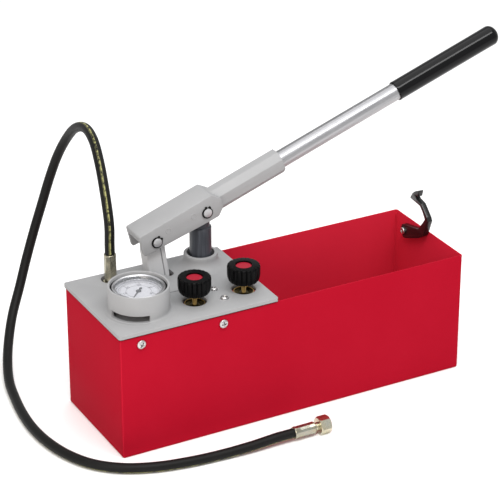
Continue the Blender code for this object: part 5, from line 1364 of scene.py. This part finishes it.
SOCKET_DIAMETER = 10.6      # for the pipes
STRAINER_SLOTS = 12


def pump_below():
    """Cylinder and foot valve, seen from the open side of the tank."""
    here = above(piston_pin)
    base, high = levels("pump_cylinder")
    flange, bore = round_radius("pump_cylinder"), round_radius("piston_seal") + GAP
    outside, spigot = bore + 5.8, BOSS_BORE / 2 - GAP
    flange_top = plate_bottom - GAP
    flange_low = flange_top - 8
    profile = [(bore, high), (spigot - 0.4, high), (spigot, high - 0.4), (spigot, flange_top),
               (flange - 0.5, flange_top), (flange, flange_top - 0.5), (flange, flange_low + 0.5),
               (flange - 0.5, flange_low), (outside + 2, flange_low)]
    profile += fillet((outside, flange_low - 2), (outside + 2, flange_low))[::-1]
    profile += [(outside, flange_low - 2), (outside, base + 1), (outside - 1, base), (7, base),
                (7, base + 10), (bore, base + 10)]
    barrel = turned("pump_cylinder_piece", profile)
    height = middle("pump_pipe").z
    join(barrel, round_bar("port", (0, -outside - 5, height), (0, -bore - 2, height), 18, ROUND_MEDIUM))
    cut(barrel, round_bar("socket", (0, -outside - 8, height), (0, -outside + 1, height), SOCKET_DIAMETER))
    dress(placed(barrel, here), BRASS)
    low, high = levels("foot_valve")
    neck, seat = 6.7, base - GAP
    pipe = turned("foot_valve_piece", [(4.5, high), (neck, high), (neck, seat), (neck, low + 0.5),
                                       (neck - 0.5, low), (4.5, low)])
    nut = placed(hexagon("foot_valve_nut", 22, 16, 1.2), at(0, 0, seat - 16))
    hollow = round_bar("hollow", (0, 0, seat - 30), (0, 0, seat + 5), 9, ROUND_MEDIUM)
    join(pipe, cut(nut, hollow))
    dress(placed(pipe, here), BRASS)


def strainer():
    low, high = levels("suction_strainer")
    outer, wall = round_radius("suction_strainer"), 2
    profile = [(7, high), (outer - 2, high), (outer - 0.6, high - 0.6), (outer, high - 2),
               (outer, low + 1), (outer - 1, low), (0, low), (0, low + wall), (outer - wall, low + wall),
               (outer - wall, high - 4), (7, high - 4)]
    cup = turned("strainer_piece", profile)
    for i in range(STRAINER_SLOTS):
        slot = block("slot", (0, -1.2, low + 4), (outer + 5, 1.2, high - 4.5))
        cut(cup, placed(slot, Matrix.Rotation(2 * pi * i / STRAINER_SLOTS, 4, "Z")))
    dress(placed(cup, above(piston_pin)), KNOB_BLACK, node="suction_strainer")


def hexagon(name, across, height, chamfer):
    """Hexagonal nut form standing on z = 0, its corners turned off at both ends."""
    corner, flat = across / 2 / cos(pi / 6), across / 2
    piece = round_bar(name, (0, 0, 0), (0, 0, height), 2 * corner, 6)
    ends = turned("ends", [(0, height + 0.01), (flat, height + 0.01), (corner + 0.05, height - chamfer),
                           (corner + 0.05, chamfer), (flat, -0.01), (0, -0.01)])
    return combine(piece, [ends], "INTERSECT")


def valve_block():
    """The CAD's block and pipes keep their shape, in finished brass and steel."""
    for node, finish in (("valve_block", BRASS), ("gauge_stem", BRASS), ("gauge_movement", BRASS),
                         ("pump_pipe", STEEL), ("hose_pipe", STEEL)):
        piece = frame["nodes"][node]
        piece.data.materials.clear()
        piece.data.materials.append(finish[0])


# Hose ends

FERRULE_FLATS = 8


def hose_elbow():
    """Elbow below the plate, with its hexagon showing in the plate's hole."""
    low, high = levels("hose_fitting")
    half, hex_low = size("hose_fitting").x / 2, high - 7
    body = rounded_edges(block("hose_elbow", (-half, -half, low), (half, half, hex_low - GAP)), 2)
    nut = hexagon("elbow_hex", 19, high - hex_low + 2, 1.2)
    join(body, placed(nut, at(0, 0, hex_low - 2)))
    height = middle("hose_pipe").z
    cut(body, round_bar("socket", (0, -2 * half, height), (0, -half + 6, height), SOCKET_DIAMETER))
    dress(placed(body, above(HOSE_PORT)), ZINC, node="hose_fitting")


def ferrule(node, place):
    """Sleeve crimped in shallow flats, with a plain collar at its hose end. Its hose end is z = 0."""
    length, outer, lip = max(size(node)), min(size(node)) / 2, 3.5
    profile = [(0, 0), (outer - 1.4, 0), (outer - 0.5, -0.3), (outer, -1), (outer, -lip)]
    profile += [(outer - 0.1, -lip - 0.6)]
    profile += [(outer - 0.1, -lip - (length - 2 * lip) * share) for share in (0.25, 0.5, 0.75)]
    profile += [(outer - 0.1, lip - length), (outer, lip - length - 0.6), (outer, 1 - length),
                (outer - 0.8, -length), (0, -length)]
    piece = turned(node + "_piece", profile, FERRULE_FLATS * 10)

    def crimped(vertex):
        return lip + 0.3 < -vertex.co.z / MM < length - lip + 0.1

    def on_ridge(vertex):
        return crimped(vertex) and cos(FERRULE_FLATS * atan2(vertex.co.y, vertex.co.x)) < -0.55

    for test, factor in ((on_ridge, 1.03), (crimped, 0.97)):
        pick(piece, "VERT", test)
        resize_picked(factor, factor, 1)
    dress(placed(piece, place), DULL_ZINC)


def hose_tail():
    """Tail with its bead, the seal in front of it and the union nut around them."""
    def place(node):
        return at(box(node)[0].x, HOSE_END.y, HOSE_END.z) @ ALONG_X

    length, bead, bore = size("hose_tail").x, size("hose_tail").y / 2, 3
    back = length - 3.75
    profile = [(bore, length), (bead - 1.2, length), (bead - 0.3, length - 0.4), (bead, length - 1.2),
               (bead, back + 0.6), (bead - 0.6, back), (5.5, back), (5.5, 0), (bore, 0)]
    turned_piece("hose_tail_piece", ZINC, profile, place("hose_tail"), steps=ROUND_MEDIUM)
    thick, rim = size("nut_seal").x, size("nut_seal").y / 2
    profile = [(3.5, thick), (rim - 0.4, thick), (rim, thick - 0.4), (rim, 0), (3.5, 0)]
    turned_piece("nut_seal_piece", RUBBER, profile, place("nut_seal"), steps=ROUND_SMALL)
    tall, turns = size("union_nut").x, 7
    nut = hexagon("union_nut_piece", size("union_nut").z, tall, 1.8)
    ridges = [(0, -1), (5.8, -1), (5.8, 4), (8.4, 4)]
    for i in range(turns):
        height = 4.5 + (tall - 5) * (i + 0.5) / turns
        ridges += [(8.4, height - 0.5), (9, height), (8.4, height + 0.5)]
    ridges += [(8.6, tall - 0.6), (9.4, tall + 1), (0, tall + 1)]
    cut(nut, turned("thread", ridges))
    dress(placed(nut, place("union_nut")), ZINC, "nut", angle=26)


# Retainer hook

HOOK_POINTS = [
    (5, 8, 3), (7, -2, 3), (0.5, -11, 3),
    (-6, -9.5, 3), (-38, 4, 1.5), (-51, 13, 1.5),
    (-60.5, 38, 0.8), (-57.5, 43.5, 0.8), (-42, 57.8, 1),
    (-30, 60.2, 0.6), (-24.5, 65, 0.4), (-33, 65, 0.4),
    (-35.5, 75, 0.8), (-25, 70, 0.8), (-19.5, 65.5, 0.8),
    (-13.5, 56, 0.8), (-38.8, 53.6, 1), (-45.5, 47.8, 0.8),
    (-52.4, 38.6, 1), (-43, 25.6, 0.8), (-36, 17, 1),
]
HOOK_HOLE = 5.6


def hook():
    """Moulded hook with crisp bends, its screw and nut."""
    place = joint_place("hook_swing")
    thickness = size("handle_hook").x
    piece = rounded_edges(slab("handle_hook_piece", rounded(HOOK_POINTS), thickness), 0.5, 2, 40)
    placed(piece, Matrix.Rotation(pi / 2, 4, "Z") @ FRONT_VIEW)
    boss = turned("hook_boss", [(0, 0.6), (6.5, 0.6), (7, 0), (7, -1), (0, -1)])
    join(piece, placed(boss, at(-thickness / 2, 0, 0, (-pi / 2, "Y"))))
    cut(piece, round_bar("hole", (-20, 0, 0), (20, 0, 0), HOOK_HOLE))
    dress(placed(piece, at(middle("handle_hook").x, place.y, place.z)), HOOK_BLACK, "hook")
    head_foot = box("hook_screw")[0].x + 1.95
    cross_screw("hook_screw_piece", 10, 2.6, 5, at(head_foot, place.y, place.z, (-pi / 2, "Y")))
    nut = hexagon("hook_nut_piece", size("hook_nut").z, size("hook_nut").x, 0.7)
    cut(nut, round_bar("hole", (0, 0, -1), (0, 0, 5), HOOK_HOLE))
    dress(placed(nut, at(box("hook_nut")[0].x, place.y, place.z) @ ALONG_X), STEEL)


gauge_parts()
dial()
needle()
for i, body in enumerate(("knob_left", "knob_right")):
    valve_knob(i + 1, above(knobs[i]), body)
    valve_stem(i + 1, above(knobs[i]), body)
pump_below()
strainer()
valve_block()
hose_elbow()
ferrule("hose_ferrule_upper", at(*HOSE_START))
ferrule("hose_ferrule_lower", at(*HOSE_END, (-pi / 2, "Y")))
hose_tail()
hook()

tuple(hose_line[0] * MM)
line_length(hose_line) * MM
